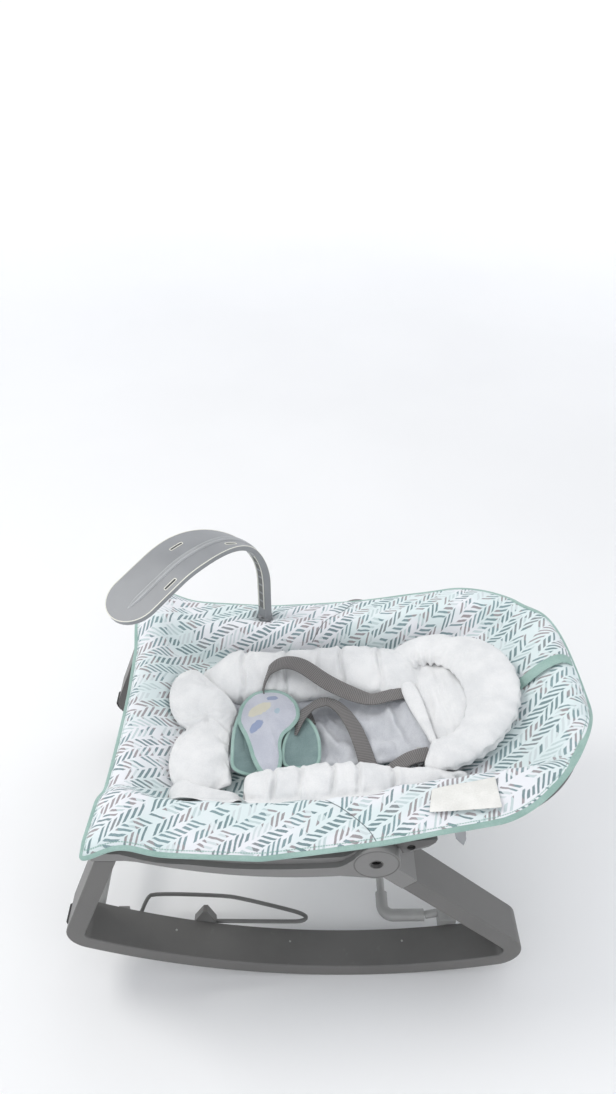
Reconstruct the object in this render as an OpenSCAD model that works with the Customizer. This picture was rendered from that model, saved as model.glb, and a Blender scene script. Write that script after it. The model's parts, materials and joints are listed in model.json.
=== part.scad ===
// Rocking bouncer seat for a baby.
// +X runs toward the head end, -Y is the left side of the child, +Z is up.
// The origin is on the floor, under the middle of the seat.

/* [Rockers] */
// Radius of the curved rocker runner
rock_r = 860; // [700:10:1000]
// Place along X where the runners touch the floor
rock_x = 32.2; // [10:0.1:50]
// Overall width across the outer faces of the two rocker hoops
base_w = 480; // [460:1:500]
// Width of each hoop band, measured across the seat
band_w = 55; // [45:1:60]
// Thickness of the hoop band, seen from the side
band_t = 26; // [22:1:30]
// Wall thickness of the hollow mouldings
wall = 3; // [2.5:0.1:4]
// Outer radius of the front corner of the hoop
front_corner_r = 38; // [34:1:45]
// Outer radius of the rear corner of the hoop
rear_corner_r = 40; // [34:1:45]
// Backward lean of the front leg, in degrees from upright
front_lean = 21; // [18:0.5:24]
// Slope of the rear leg, in degrees from level
rear_slope = 45.8; // [42:0.2:50]

/* [Hub] */
// Height of the recline hubs above the floor
hub_z = 288; // [284:1:292]
// Place of the recline hubs along X
hub_x = 57.2; // [50:0.1:60]
// Radius of the round hub
hub_r = 31; // [28:0.5:33]
// Radius of the recline pivot pin
pin_r = 6; // [5:0.5:8]
// Running clearance between a pin and its hole
play = 0.05; // [0.03:0.01:0.09]

/* [Frame tubes] */
// Radius of the seat frame tube
seat_tube_r = 9.5; // [8:0.5:10]
// Radius of the back frame tube
back_tube_r = 8; // [7:0.5:9]
// Wall of the steel tubes
tube_wall = 1.2; // [1:0.1:2]
// Radius of the front cross tube
front_tube_r = 9; // [8:0.5:10]
// Radius of the rear cross tube
rear_tube_r = 6; // [5:0.5:7]
// Slope of the back frame, in degrees
back_slope = 13; // [12:0.5:14]

/* [Kickstands] */
// Radius of the kickstand wire
wire_r = 3; // [2.5:0.1:3.5]
// Reach of the kickstand loop from its hinge line
stand_reach = 43; // [38:1:45]

/* [Toy bar] */
// Radius of the arch of the toy bar
arch_r = 140; // [130:1:145]
// Thickness of the toy bar strip
strip_t = 8; // [6:0.5:9]
// Width of the flat paddle at its end
paddle_w = 84; // [70:1:90]
// Width of the upright post
post_w = 17; // [15:0.5:20]

/* [Fabric cover] */
// Half width of the cover at the foot end
cover_half_w = 240; // [230:1:241]
// Half width of the cover where the head end begins to round off
cover_head_w = 223; // [210:1:230]
// Thickness of the padded cover
cover_t = 14; // [10:1:16]
// Depth of the pocket that the child lies in
pocket_depth = 45; // [35:1:48]

/* [Hidden] */

frame_grey = [0.24, 0.24, 0.24];
steel_grey = [0.62, 0.63, 0.63];
rubber_black = [0.1, 0.1, 0.1];
toy_grey = [0.6, 0.61, 0.62];
cloth_white = [0.88, 0.91, 0.9];
insert_white = [0.93, 0.93, 0.92];
mint = [0.56, 0.75, 0.7];
webbing_grey = [0.38, 0.38, 0.39];

out_y = base_w / 2;
in_y = out_y - band_w;
rock_c = [rock_x, rock_r];
hub = [hub_x, hub_z];

// ---------- small helpers ----------
function polar(c, r, a) = [c[0] + r * cos(a), c[1] + r * sin(a)];
function arc(c, r, a, b, n) = [for (i = [0:n]) polar(c, r, a + (b - a) * i / n)];
function ease(t) = let(k = min(1, max(0, t))) k * k * (3 - 2 * k);
function bez(a, b, c, d, t) =
    pow(1 - t, 3) * a + 3 * t * pow(1 - t, 2) * b + 3 * t * t * (1 - t) * c + t * t * t * d;

// Stands a flat X-Z outline up, from y = y0 to y = y1
module slab_y(y0, y1) {
    translate([0, y1, 0])
        rotate([90, 0, 0])
            linear_extrude(y1 - y0)
                children();
}

module rod_y(x, z, r, y0, y1) {
    translate([x, y0, z])
        rotate([-90, 0, 0])
            cylinder(r = r, h = y1 - y0, $fn = 48);
}

module rod(a, b, r) {
    d = b - a;
    length = norm(d);
    translate(a)
        rotate([0, acos(d[2] / length), atan2(d[1], d[0])])
            cylinder(r = r, h = length, $fn = 32);
}

// Round-ended roll from a to b
module capsule(a, b, r) {
    d = b - a;
    length = norm(d);
    translate(a)
        rotate([0, acos(d[2] / length), atan2(d[1], d[0])])
            rotate_extrude($fn = 32)
                polygon(concat(arc([0, 0], r, -90, 0, 6), arc([0, length], r, 0, 90, 6)));
}

module to_right() {
    mirror([0, 1, 0]) children();
}

// ---------- rocker hoop ----------
leg_dir = [sin(front_lean), cos(front_lean)];
leg_in = [leg_dir[1], -leg_dir[0]];
leg_top = [hub_x - 357, 300];
rear_dir = [cos(rear_slope), -sin(rear_slope)];
rear_out = [-rear_dir[1], rear_dir[0]];
rear_edge = hub + rear_out * band_t / 2;
seam_run = 65;

// Centre of a corner circle of radius r that touches the runner and a leg line
function corner(p, dir, inward, r) =
    let(q = p + inward * r - rock_c,
        b = q * dir,
        s = -b + sqrt(b * b - q * q + pow(rock_r - r, 2)))
    p + inward * r + dir * s;

front_c = corner(leg_top, -leg_dir, leg_in, front_corner_r);
rear_c = corner(rear_edge, rear_dir, -rear_out, rear_corner_r);
front_a = atan2(front_c[1] - rock_c[1], front_c[0] - rock_c[0]) + 360;
rear_a = atan2(rear_c[1] - rock_c[1], rear_c[0] - rock_c[0]) + 360;
leg_a = 180 - front_lean;
rear_leg_a = 360 + 90 - rear_slope;

function on_leg(e) = leg_top + leg_in * e - leg_dir * ((leg_in[1] * e) / leg_dir[1]);
function on_rear(e, s) = hub + rear_out * e + rear_dir * s;

// Side outline of the hoop, shrunk by e on every edge
function hoop_outline(e) = concat(
    [on_leg(e) - leg_dir * e],
    arc(front_c, front_corner_r - e, leg_a, front_a, 8),
    arc(rock_c, rock_r - e, front_a, rear_a, 44),
    arc(rear_c, rear_corner_r - e, rear_a, rear_leg_a, 12),
    [on_rear(band_t / 2 - e, seam_run + e), on_rear(e - band_t / 2, seam_run + e)],
    arc(rear_c, rear_corner_r - band_t + e, rear_leg_a, rear_a, 12),
    arc(rock_c, rock_r - band_t + e, rear_a, front_a, 44),
    arc(front_c, front_corner_r - band_t + e, front_a, leg_a, 8),
    [on_leg(band_t - e) - leg_dir * e]
);

front_tube_at = polar(rock_c, rock_r - band_t / 2, front_a + 0.3);
cover_screw_angles = [250, 259, 268, 277];
cover_t_plate = 3;
channel_floor = in_y + cover_t_plate + 0.02;

module rocker_hoop() color(frame_grey) {
    difference() {
        slab_y(-out_y, -in_y) polygon(hoop_outline(0));
        slab_y(-out_y + wall, -in_y + 1) polygon(hoop_outline(wall));
        rod_y(front_tube_at[0], front_tube_at[1], front_tube_r + 0.02, -out_y + 12, -in_y + 1);
    }
    for (a = cover_screw_angles) {
        p = polar(rock_c, rock_r - band_t / 2, a);
        difference() {
            rod_y(p[0], p[1], 5, -out_y + wall, -channel_floor);
            rod_y(p[0], p[1], 1.6, -in_y - 18, -in_y + 1);
        }
    }
}

module hoop_cover() color(frame_grey) {
    difference() {
        slab_y(-in_y - cover_t_plate, -in_y) polygon(hoop_outline(wall + 0.05));
        for (a = cover_screw_angles) {
            p = polar(rock_c, rock_r - band_t / 2, a);
            rod_y(p[0], p[1], 2, -in_y - 5, -in_y + 1);
        }
        rod_y(front_tube_at[0], front_tube_at[1], front_tube_r + 0.05, -in_y - 5, -in_y + 1);
    }
}

module cover_screws() color(steel_grey) {
    for (s = [-1, 1], a = cover_screw_angles) {
        p = polar(rock_c, rock_r - band_t / 2, a);
        scale([1, -s, 1]) {
            rod_y(p[0], p[1], 1.55, -in_y - 15, -in_y + 0.1);
            rod_y(p[0], p[1], 3.5, -in_y + 0.05, -in_y + 1.8);
        }
    }
}

// ---------- shape of the fabric cover ----------
foot_x = hub_x - 371;
head_x = hub_x + 316;
head_start = hub_x + 148;
fold_front = hub_x - 29;
fold_back = hub_x + 11;
waist_x = hub_x - 148;
waist_z = 298;
round_power = 1.7;

// Half width of the cover at x
function cover_w(x) = let(u = min(1, max(0, (x - head_start) / (head_x - head_start))))
    x < head_start ?
        cover_half_w - (cover_half_w - cover_head_w) * max(0, (x - waist_x) / (head_start - waist_x)) :
        cover_head_w * pow(1 - pow(u, round_power), 1 / round_power);

// Height of the lower edge of the cover at x
function cover_z(x) = let(d = x - waist_x)
    d < 0 ?
        waist_z - 0.076 * d + 18 * exp(-pow((d + 178) / 35, 2)) :
        waist_z + 0.08 * d + 0.00026 * d * d - 0.03 * pow(max(0, x - head_x + 42), 2);

function pocket(x, y) =
    pocket_depth * (0.45 + 0.55 * ease((x - foot_x) / 110)) * (1 - 0.35 * ease((x - hub_x - 60) / 140))
    * (1 - ease((x - hub_x - 210) / 65)) * (1 - ease((abs(y) - 132) / 31));

function cover_top(x, y) = cover_z(x) + cover_t - pocket(x, y);
function cover_low(x, y) = cover_z(x) - pocket(x, y);

// ---------- side arm, hub and rear stub ----------
arm_x0 = leg_top[0] - 4;
arm_low_z = 261;
arm_low_x = hub_x - 98;
arm_flat_x = arm_x0 + 50;
arm_front_z = 301;
arm_arc_h = arm_front_z - arm_low_z;
arm_span = arm_low_x - arm_flat_x;
arm_gap = 1.7;
function arm_bottom(x) = arm_low_z + arm_arc_h * pow((arm_low_x - max(x, arm_flat_x)) / arm_span, 2);
function arm_top(x) = min(
    arm_bottom(x) + 26 + 4 * ease((x - arm_low_x + 120) / 150),
    cover_z(x) - arm_gap
);

module arm_outline() {
    n = 22;
    fillet_x = hub_x - 46;
    xs = [for (i = [0:n]) arm_x0 + (fillet_x - arm_x0) * i / n];
    fillet = [for (t = [0.15:0.17:1]) bez([fillet_x, arm_top(fillet_x)], [hub_x - 28, hub_z + 8],
        [hub_x - 28, hub_z + hub_r - 2], [hub_x - 4, hub_z + hub_r - 0.4], t)];
    polygon(concat(
        [for (x = xs) [x, arm_top(x)]],
        fillet,
        [[hub_x, hub_z + hub_r - 0.4], [hub_x, hub_z - hub_r + 0.4]],
        [for (i = [n:-1:0]) [xs[i], arm_bottom(xs[i])]]
    ));
}

chamfer = 11;
pivot_y0 = out_y - 12;

module side_arm() color(frame_grey) {
    difference() {
        union() {
            slab_y(-out_y, -in_y) intersection() {
                arm_outline();
                translate([-chamfer * 0.55, -chamfer]) arm_outline();
            }
            slab_y(-out_y + chamfer * 0.7, -in_y) arm_outline();
            rod_y(hub_x, hub_z, hub_r, -out_y, -out_y + 26);
            slab_y(-out_y, -out_y + 26) polygon([
                on_rear(band_t / 2, 0), on_rear(band_t / 2, seam_run - 0.05),
                on_rear(-band_t / 2, seam_run - 0.05), on_rear(-band_t / 2, 0)]);
            slab_y(-out_y + 25, -in_y) polygon([
                on_rear(band_t / 2, 34), on_rear(band_t / 2, seam_run - 0.05),
                on_rear(-band_t / 2, seam_run - 0.05), on_rear(-band_t / 2, 34)]);
        }
        // room for the ear of the recline bracket
        rod_y(hub_x, hub_z, hub_r + 3, -out_y + 26, -in_y + 1);
        // pivot pin seat and the counterbore of its screw
        rod_y(hub_x, hub_z, pin_r, -pivot_y0, -in_y + 1);
        rod_y(hub_x, hub_z, 8, -out_y - 1, -pivot_y0 + 0.01);
        // hollow underside
        slab_y(-out_y + 16, -in_y + 1) polygon([for (q = [
            [0.1, 0], [0.25, 0], [0.5, 0], [0.75, 0], [0.85, 0],
            [0.85, 1], [0.75, 1], [0.5, 1], [0.25, 1], [0.1, 1]])
            let(x = arm_x0 + 70 + 200 * q[0])
            [x, q[1] == 0 ? arm_bottom(x) + wall : arm_top(x) - wall - 2]]);
    }
}

module hub_pin() color(steel_grey) {
    rod_y(hub_x, hub_z, pin_r - 0.02, -pivot_y0 + 0.05, -in_y + 4);
    rod_y(hub_x, hub_z, 10, -in_y + 4, -in_y + 7);
}

module hub_screws() color(rubber_black) {
    for (s = [-1, 1]) scale([1, -s, 1]) difference() {
        rod_y(hub_x, hub_z, 7.5, -out_y + 5, -pivot_y0 - 0.02);
        for (a = [0, 90]) translate([hub_x, -out_y + 6, hub_z])
            rotate([0, a, 0]) cube([8, 4, 1.6], center = true);
    }
}

// ---------- cross tubes ----------
module front_cross_tube() color(steel_grey) {
    reach = out_y - 14;
    difference() {
        rod_y(front_tube_at[0], front_tube_at[1], front_tube_r, -reach, reach);
        rod_y(front_tube_at[0], front_tube_at[1], front_tube_r - tube_wall, -reach - 1, reach + 1);
    }
}

rear_tube_x = hub_x + 27;
rear_tube_z = 37;
elbow_r = 9;
elbow_bend = 16;
elbow_y = in_y - elbow_r - 8;
link_x0 = rear_tube_x + 62;
link_x1 = link_x0 + 28;
link_z1 = rear_tube_z + 9;

module rear_cross_tube() color(steel_grey) {
    reach = elbow_y - elbow_bend - 2;
    difference() {
        rod_y(rear_tube_x, rear_tube_z, rear_tube_r, -reach, reach);
        rod_y(rear_tube_x, rear_tube_z, rear_tube_r - tube_wall, -reach - 1, reach + 1);
    }
}

module rear_elbow() color(steel_grey) {
    difference() {
        union() {
            rod_y(rear_tube_x, rear_tube_z, elbow_r, -elbow_y + elbow_bend, -elbow_y + elbow_bend + 20);
            translate([rear_tube_x + elbow_bend, -elbow_y + elbow_bend, rear_tube_z])
                rotate([0, 0, 180])
                    rotate_extrude(angle = 90, $fn = 64)
                        translate([elbow_bend, 0]) circle(r = elbow_r, $fn = 48);
            translate([rear_tube_x + elbow_bend, -elbow_y, rear_tube_z])
                rotate([0, 90, 0]) cylinder(r = elbow_r, h = link_x0 - rear_tube_x - elbow_bend, $fn = 48);
        }
        rod_y(rear_tube_x, rear_tube_z, rear_tube_r + 0.02,
            -elbow_y + elbow_bend + 2, -elbow_y + elbow_bend + 21);
    }
}

module rear_link() color(steel_grey) {
    rod([link_x0 + 2.2, -elbow_y, rear_tube_z], [link_x1, -elbow_y, link_z1], 6);
    difference() {
        translate([link_x1 - 8, -in_y + 0.05, link_z1 - 17]) cube([26, 24, 22]);
        translate([link_x1 + 2, -in_y - 1, link_z1 - 12]) cube([9, 30, 6]);
    }
}

// ---------- rubber stops ----------
module front_stop() color(rubber_black) {
    a0 = leg_a + 22;
    a1 = leg_a + 54;
    slab_y(-in_y - 34, -in_y - 6)
        polygon(concat(
            arc(front_c, front_corner_r + 6, a0 + 4, a1 - 4, 6),
            arc(front_c, front_corner_r + 0.05, a1, a0, 6)));
}

// ---------- kickstands ----------
hinge_a = [hub_x - 353, 50];
hinge_b = [hub_x - 88, 41];
hinge_y = in_y - 5.5;
lug_x = hub_x - 238;
function hinge_z(x) = hinge_a[1] + (hinge_b[1] - hinge_a[1]) * (x - hinge_a[0]) / (hinge_b[0] - hinge_a[0]);
function on_stand(x, reach) = [x, -hinge_y + reach, hinge_z(x)];

stand_path = [
    on_stand(hinge_a[0] - 6, 0), on_stand(hinge_a[0] + 8, 0), on_stand(hinge_a[0] + 13, 5),
    on_stand(hinge_a[0] + 20, stand_reach - 8), on_stand(hinge_a[0] + 28, stand_reach),
    on_stand(lug_x + 20, stand_reach - 2), on_stand(lug_x + 52, stand_reach - 7),
    on_stand(hinge_b[0] - 24, 18), on_stand(hinge_b[0] - 6, 12), on_stand(hinge_b[0], 6),
    on_stand(hinge_b[0] - 8, 1), on_stand(hinge_b[0] - 24, 0), on_stand(lug_x + 2, 0)
];

// One pass of corner cutting, which rounds the bends of an open path
function cut_corners(path) = concat(
    [path[0]],
    [for (i = [0:len(path) - 2]) for (k = [0.25, 0.75]) path[i] * (1 - k) + path[i + 1] * k],
    [path[len(path) - 1]]
);

stand_line = cut_corners(cut_corners(stand_path));
stand_sides = 10;
stand_up = let(d = hinge_b - hinge_a) [-d[1], 0, d[0]] / norm(d);

// Ring of points round the wire at point i of its line
function wire_ring(i) =
    let(n = len(stand_line),
        t = stand_line[min(n - 1, i + 1)] - stand_line[max(0, i - 1)],
        side = cross(t, stand_up) / norm(t))
    [for (k = [0:stand_sides - 1]) let(a = 360 * k / stand_sides)
        stand_line[i] + wire_r * (cos(a) * stand_up + sin(a) * side)];

module kickstand() color(webbing_grey) {
    n = len(stand_line);
    m = stand_sides;
    points = [for (i = [0:n - 1]) for (p = wire_ring(i)) p];
    sides = [for (i = [0:n - 2]) for (k = [0:m - 1])
        [i * m + k, i * m + (k + 1) % m, (i + 1) * m + (k + 1) % m, (i + 1) * m + k]];
    polyhedron(points, concat([[for (k = [m - 1:-1:0]) k]], sides, [[for (k = [0:m - 1]) (n - 1) * m + k]]));
}

// Bored block on the inner face of the hoop that holds one end of the wire
module hinge_block(x0, x1, outline) {
    difference() {
        slab_y(-in_y + 0.05, -in_y + 11) polygon(outline);
        rod([x0, -hinge_y, hinge_z(x0)], [x1, -hinge_y, hinge_z(x1)], wire_r + play);
    }
}

module kickstand_lug() color(frame_grey) {
    z0 = hinge_z(lug_x) - 7;
    hinge_block(lug_x - 2, lug_x + 20, [[lug_x - 18, z0], [lug_x + 14, z0], [lug_x + 14, z0 + 14],
        [lug_x + 3, z0 + 42], [lug_x - 3, z0 + 42], [lug_x - 18, z0 + 16]]);
}

module kickstand_clip() color(frame_grey) {
    x0 = hinge_a[0] - 14;
    z0 = hinge_z(x0) - 7;
    hinge_block(hinge_a[0] - 8, hinge_a[0] + 8,
        [[x0, z0], [x0 + 16, z0], [x0 + 16, z0 + 36], [x0, z0 + 36]]);
}

// ---------- seat frame ----------
seat_slope = 3.5;
seat_tube_y = in_y - seat_tube_r - 3.5;
seat_x0 = hub_x - 50;
seat_run = 238;
seat_bend = 50;
seat_tube_z = 272;

// Draws in the sloping plane of the seat frame, with X running toward the feet
module in_seat_plane() {
    translate([seat_x0, 0, seat_tube_z])
        rotate([0, seat_slope, 0])
            mirror([1, 0, 0])
                children();
}

module u_tube(half, run, bend, r) {
    difference() {
        u_tube_solid(half, run, bend, r, 0);
        u_tube_solid(half, run, bend, r - tube_wall, 1);
    }
}

module u_tube_solid(half, run, bend, r, extra) {
    for (s = [-1, 1]) {
        translate([-extra, s * half, 0])
            rotate([0, 90, 0]) cylinder(r = r, h = run + extra, $fn = 48);
        translate([run, s * (half - bend), 0])
            rotate([0, 0, s > 0 ? 0 : -90])
                rotate_extrude(angle = 90, $fn = 96)
                    translate([bend, 0]) circle(r = r, $fn = 48);
    }
    rod_flat = half - bend;
    translate([run + bend, -rod_flat, 0])
        rotate([-90, 0, 0]) cylinder(r = r, h = 2 * rod_flat, $fn = 48);
}

module seat_frame_tube() color(frame_grey) {
    in_seat_plane() u_tube(seat_tube_y, seat_run, seat_bend, seat_tube_r);
}

saddle_runs = [22, 214];
module seat_saddles() color(frame_grey) {
    in_seat_plane() for (run = saddle_runs) difference() {
        translate([run - 11, -in_y + 0.05, -7]) cube([22, band_w - 38, 14]);
        translate([run - 12, -seat_tube_y, 0]) rotate([0, 90, 0])
            cylinder(r = seat_tube_r + 0.02, h = 24, $fn = 48);
        translate([run, 0, 0]) rod_y(0, 0, 2.5, -in_y - 1, -in_y + 30);
    }
}

module saddle_bolts() color(steel_grey) {
    for (s = [-1, 1]) scale([1, -s, 1])
        in_seat_plane() for (run = saddle_runs)
            rod_y(run, 0, 5, -seat_tube_y + seat_tube_r + 0.1, -seat_tube_y + seat_tube_r + 3);
}

// ---------- recline bracket and back frame ----------
back_tube_y = 200;
back_x0 = hub_x + 20;
back_tube_z = hub_z + 16;
back_run = 134;
back_bend = 130;
ear_y0 = out_y - 26.3;
ear_y1 = in_y + 6;
bracket_screw = hub + [44, 19];

module in_back_plane() {
    translate([back_x0, 0, back_tube_z])
        rotate([0, -back_slope, 0])
            children();
}

module recline_bracket() color(frame_grey) {
    difference() {
        union() {
            rod_y(hub_x, hub_z, hub_r - 3, -ear_y0, -ear_y1);
            // outer cheek that wraps round the hub
            slab_y(-out_y + 12, -ear_y0 + 8) polygon([[hub_x + 10, hub_z + 8], [hub_x + 38, hub_z + 7],
                [hub_x + 50, hub_z + 13], [hub_x + 66, hub_z + 20], [hub_x + 74, hub_z + 29],
                [hub_x + 76, hub_z + 36], [hub_x + 10, hub_z + 28]]);
            slab_y(-ear_y0, -ear_y1) polygon([[hub_x, hub_z - 4], [hub_x + 34, hub_z + 5],
                [hub_x + 66, hub_z + 17], [hub_x + 76, hub_z + 36], [hub_x, hub_z + 26]]);
        }
        rod_y(hub_x, hub_z, pin_r + play, -out_y, -in_y + 2);
        rod_y(hub_x, hub_z, hub_r + 3, -out_y, -ear_y0);
        in_back_plane() translate([-1, -back_tube_y, 0]) rotate([0, 90, 0])
            cylinder(r = back_tube_r + 0.02, h = 90, $fn = 48);
        rod_y(bracket_screw[0], bracket_screw[1], 5.5, -out_y, -out_y + 17);
    }
}

module bracket_screws() color(steel_grey) {
    for (s = [-1, 1]) scale([1, -s, 1])
        rod_y(bracket_screw[0], bracket_screw[1], 4.5, -out_y + 14, -out_y + 16.98);
}

module back_frame_tube() color(frame_grey) {
    in_back_plane() u_tube(back_tube_y, back_run, back_bend, back_tube_r);
}

hook_run = 88;
module cover_hook() color(toy_grey) {
    in_back_plane() translate([hook_run, -back_tube_y, 0]) difference() {
        union() {
            translate([-7, -14, -12]) cube([14, 22, 12]);
            slab_y(-18, -13) polygon([[-7, 2], [7, 2], [6, -16], [1, -30], [-3, -22], [-7, -12]]);
        }
        translate([-8, 0, 0]) rotate([0, 90, 0]) cylinder(r = back_tube_r + 0.02, h = 16, $fn = 48);
    }
}

// ---------- toy bar ----------
toy_x = hub_x - 155;
toy_y = 205;
toy_base_z = 292;
toy_turn = 225;
spigot_r = 7;
socket_r = 12;
socket_z = arm_top(toy_x - socket_r) + 0.1;
spigot_z = socket_z + 0.5;
arch_z = 387;
arch_end = 110;
paddle_run = 54;
post_run = arch_z - toy_base_z - 22;
arch_run = arch_r * arch_end * PI / 180;
strip_run = post_run + arch_run + paddle_run;

// Place and direction of the strip at a distance s along it, in its own upright plane
function strip_at(s) =
    s < post_run ? [0, arch_z - post_run + s, 90] :
    s < post_run + arch_run ?
        let(a = (s - post_run) / arch_r * 180 / PI)
        [arch_r - arch_r * cos(a), arch_z + arch_r * sin(a), 90 - a] :
        let(a = arch_end, d = s - post_run - arch_run)
        [arch_r - arch_r * cos(a) + d * sin(a), arch_z + arch_r * sin(a) + d * cos(a), 90 - a];

function strip_half_w(s) =
    post_w / 2 + (paddle_w - post_w) / 2 * ease((s - post_run - 30) / (arch_run - 60));
function strip_half_t(s) = strip_t / 2 + 3 * (1 - ease((s - post_run) / 90));

function strip_ring(s, k) =
    let(p = strip_at(s), w = strip_half_w(s) * k, t = strip_half_t(s), nx = -sin(p[2]), nz = cos(p[2]))
    [[p[0] + nx * t, -w, p[1] + nz * t], [p[0] + nx * t, w, p[1] + nz * t],
     [p[0] - nx * t, w, p[1] - nz * t], [p[0] - nx * t, -w, p[1] - nz * t]];

ring_count = 40;
end_count = 9;
strip_rings = concat(
    [for (i = [0:ring_count]) strip_ring(strip_run * i / ring_count, 1)],
    [for (i = [1:end_count]) let(a = 84 * i / end_count)
        strip_ring(strip_run + paddle_w / 2 * sin(a), cos(a))]
);

module strip() {
    n = len(strip_rings);
    points = [for (r = strip_rings) for (p = r) p];
    sides = [for (i = [0:n - 2]) for (j = [0:3])
        [4 * i + j, 4 * i + (j + 1) % 4, 4 * i + 4 + (j + 1) % 4, 4 * i + 4 + j]];
    polyhedron(points, concat([[3, 2, 1, 0]], sides, [[4 * n - 4, 4 * n - 3, 4 * n - 2, 4 * n - 1]]));
}

toy_slots = [[post_run + 157, 18], [post_run + 228, -18], [post_run + 279, 31]];
module toy_bar() color(toy_grey) {
    translate([toy_x, toy_y, 0]) rotate([0, 0, toy_turn]) difference() {
        union() {
            strip();
            translate([0, 0, spigot_z]) cylinder(r = spigot_r, h = toy_base_z + 23 - spigot_z, $fn = 48);
            translate([0, 0, toy_base_z + 16]) cylinder(r = 12, h = 8, $fn = 48);
        }
        for (q = toy_slots) {
            p = strip_at(q[0]);
            translate([p[0], q[1], p[1]]) rotate([0, -p[2], 0]) cube([20, 3.4, 30], center = true);
        }
    }
}

module toy_bar_socket() color(frame_grey) {
    translate([toy_x, toy_y, 0]) difference() {
        translate([0, 0, socket_z]) cylinder(r = socket_r, h = toy_base_z + 15.9 - socket_z, $fn = 48);
        translate([0, 0, 200]) cylinder(r = spigot_r + play, h = 200, $fn = 48);
    }
}

// ---------- fabric cover ----------
// Padded sheet between two grids of points, rows along X and columns along Y
module padded(grid_top, grid_low) {
    rows = len(grid_top);
    cols = len(grid_top[0]);
    total = rows * cols;
    function at(i, j) = i * cols + j;
    points = concat([for (r = grid_top) for (p = r) p], [for (r = grid_low) for (p = r) p]);
    upper = [for (i = [0:rows - 2]) for (j = [0:cols - 2])
        [at(i, j), at(i, j + 1), at(i + 1, j + 1), at(i + 1, j)]];
    lower = [for (f = upper) [for (k = [3:-1:0]) f[k] + total]];
    ends = [for (j = [0:cols - 2]) for (side = [0, 1])
        let(i = side * (rows - 1))
        side == 0 ?
            [at(i, j) + total, at(i, j + 1) + total, at(i, j + 1), at(i, j)] :
            [at(i, j), at(i, j + 1), at(i, j + 1) + total, at(i, j) + total]];
    edges = [for (i = [0:rows - 2]) for (side = [0, 1])
        let(j = side * (cols - 1))
        side == 0 ?
            [at(i, j), at(i + 1, j), at(i + 1, j) + total, at(i, j) + total] :
            [at(i, j) + total, at(i + 1, j) + total, at(i + 1, j), at(i, j)]];
    polyhedron(points, concat(upper, lower, ends, edges));
}

cover_cols = 20;
function row(x0, x1, f, low) = [for (j = [0:cover_cols])
    let(t = 2 * j / cover_cols - 1,
        x = x0 + (x1 - x0) * f + 14 * (1 - t * t) * (x0 < hub_x ? 1 - f : 0),
        y = t * cover_w(x))
    [x, y, low ? cover_low(x, y) : cover_top(x, y)]];

module cover_part(x0, x1, rows, even) {
    stations = [for (i = [0:rows]) even ? i / rows : sin(90 * i / rows)];
    padded([for (f = stations) row(x0, x1, f, false)], [for (f = stations) row(x0, x1, f, true)]);
}

module seat_pad() color(cloth_white) {
    difference() {
        cover_part(foot_x, fold_front, 16, true);
        translate([toy_x, toy_y, 200]) cylinder(r = 13.5, h = 200, $fn = 32);
    }
}

module back_pad() color(cloth_white) {
    cover_part(fold_back, head_x - 1.5, 18, false);
}

// ---------- newborn insert ----------
insert_t = 10;
insert_half_w = 92;
function insert_rows(x0, x1, half, n, low) = [for (i = [0:n]) [for (j = [0:10])
    let(x = x0 + (x1 - x0) * i / n, y = half * (j / 5 - 1))
    [x, y, cover_top(x, y) + (low ? 1.2 : insert_t)]]];

module insert_seat() color(insert_white) {
    x0 = hub_x - 282;
    padded(insert_rows(x0, fold_front, insert_half_w, 10, false),
        insert_rows(x0, fold_front, insert_half_w, 10, true));
}

module insert_back() color(insert_white) {
    x1 = hub_x + 62;
    padded(insert_rows(fold_back, x1, insert_half_w, 5, false),
        insert_rows(fold_back, x1, insert_half_w, 5, true));
}

bolster_r = 17;
bolster_y = 113;
function above_cover(x, y, lift) = [x, y, cover_top(x, y) + lift];
module bolster(x0, x1) color(insert_white) {
    capsule(above_cover(x0, -bolster_y, bolster_r + 2),
        above_cover(x1, -bolster_y, bolster_r + 2), bolster_r);
}

bolster_seat_x = [hub_x - 240, fold_front - bolster_r];
bolster_back_x = [fold_back + bolster_r, hub_x + 60];

pillow_at = [hub_x + 105, 0];
pillow_ring_r = 88;
pillow_r = 15;
pillow_half_w = 34;
pillow_tilt = 19;
module head_pillow() color(insert_white) {
    translate([pillow_at[0], 0, cover_top(pillow_at[0], 0) + pillow_r + 4]) rotate([0, -pillow_tilt, 0]) {
        rotate([0, 0, -96]) rotate_extrude(angle = 192, $fn = 96)
            translate([pillow_ring_r, 0]) scale([pillow_half_w / pillow_r, 1])
                circle(r = pillow_r, $fn = 48);
        difference() {
            translate([0, 0, -8]) cylinder(r = pillow_ring_r - 20, h = 10, $fn = 96);
            translate([-200 - 8, -150, -50]) cube([200, 300, 100]);
        }
    }
}

// ---------- harness ----------
crotch_x = hub_x - 158;
strap_t = 2;

module crotch_panel() color(mint) {
    translate([crotch_x, 0, cover_top(crotch_x, 0) + insert_t + 4]) {
        linear_extrude(8) hull() {
            translate([-4, 18]) circle(r = 36, $fn = 40);
            translate([6, -62]) circle(r = 12, $fn = 40);
        }
    }
}

module crotch_strap() color(webbing_grey) {
    translate([crotch_x + 34, -15, cover_top(crotch_x, 0) + insert_t + 12.2]) cube([36, 30, strap_t]);
}

module buckle() color(frame_grey) {
    translate([crotch_x + 6, 0, cover_top(crotch_x, 0) + insert_t + 12.2])
        linear_extrude(10) hull() for (p = [[-12, 0], [14, -13], [14, 13]])
            translate(p) circle(r = 7, $fn = 32);
}

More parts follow.
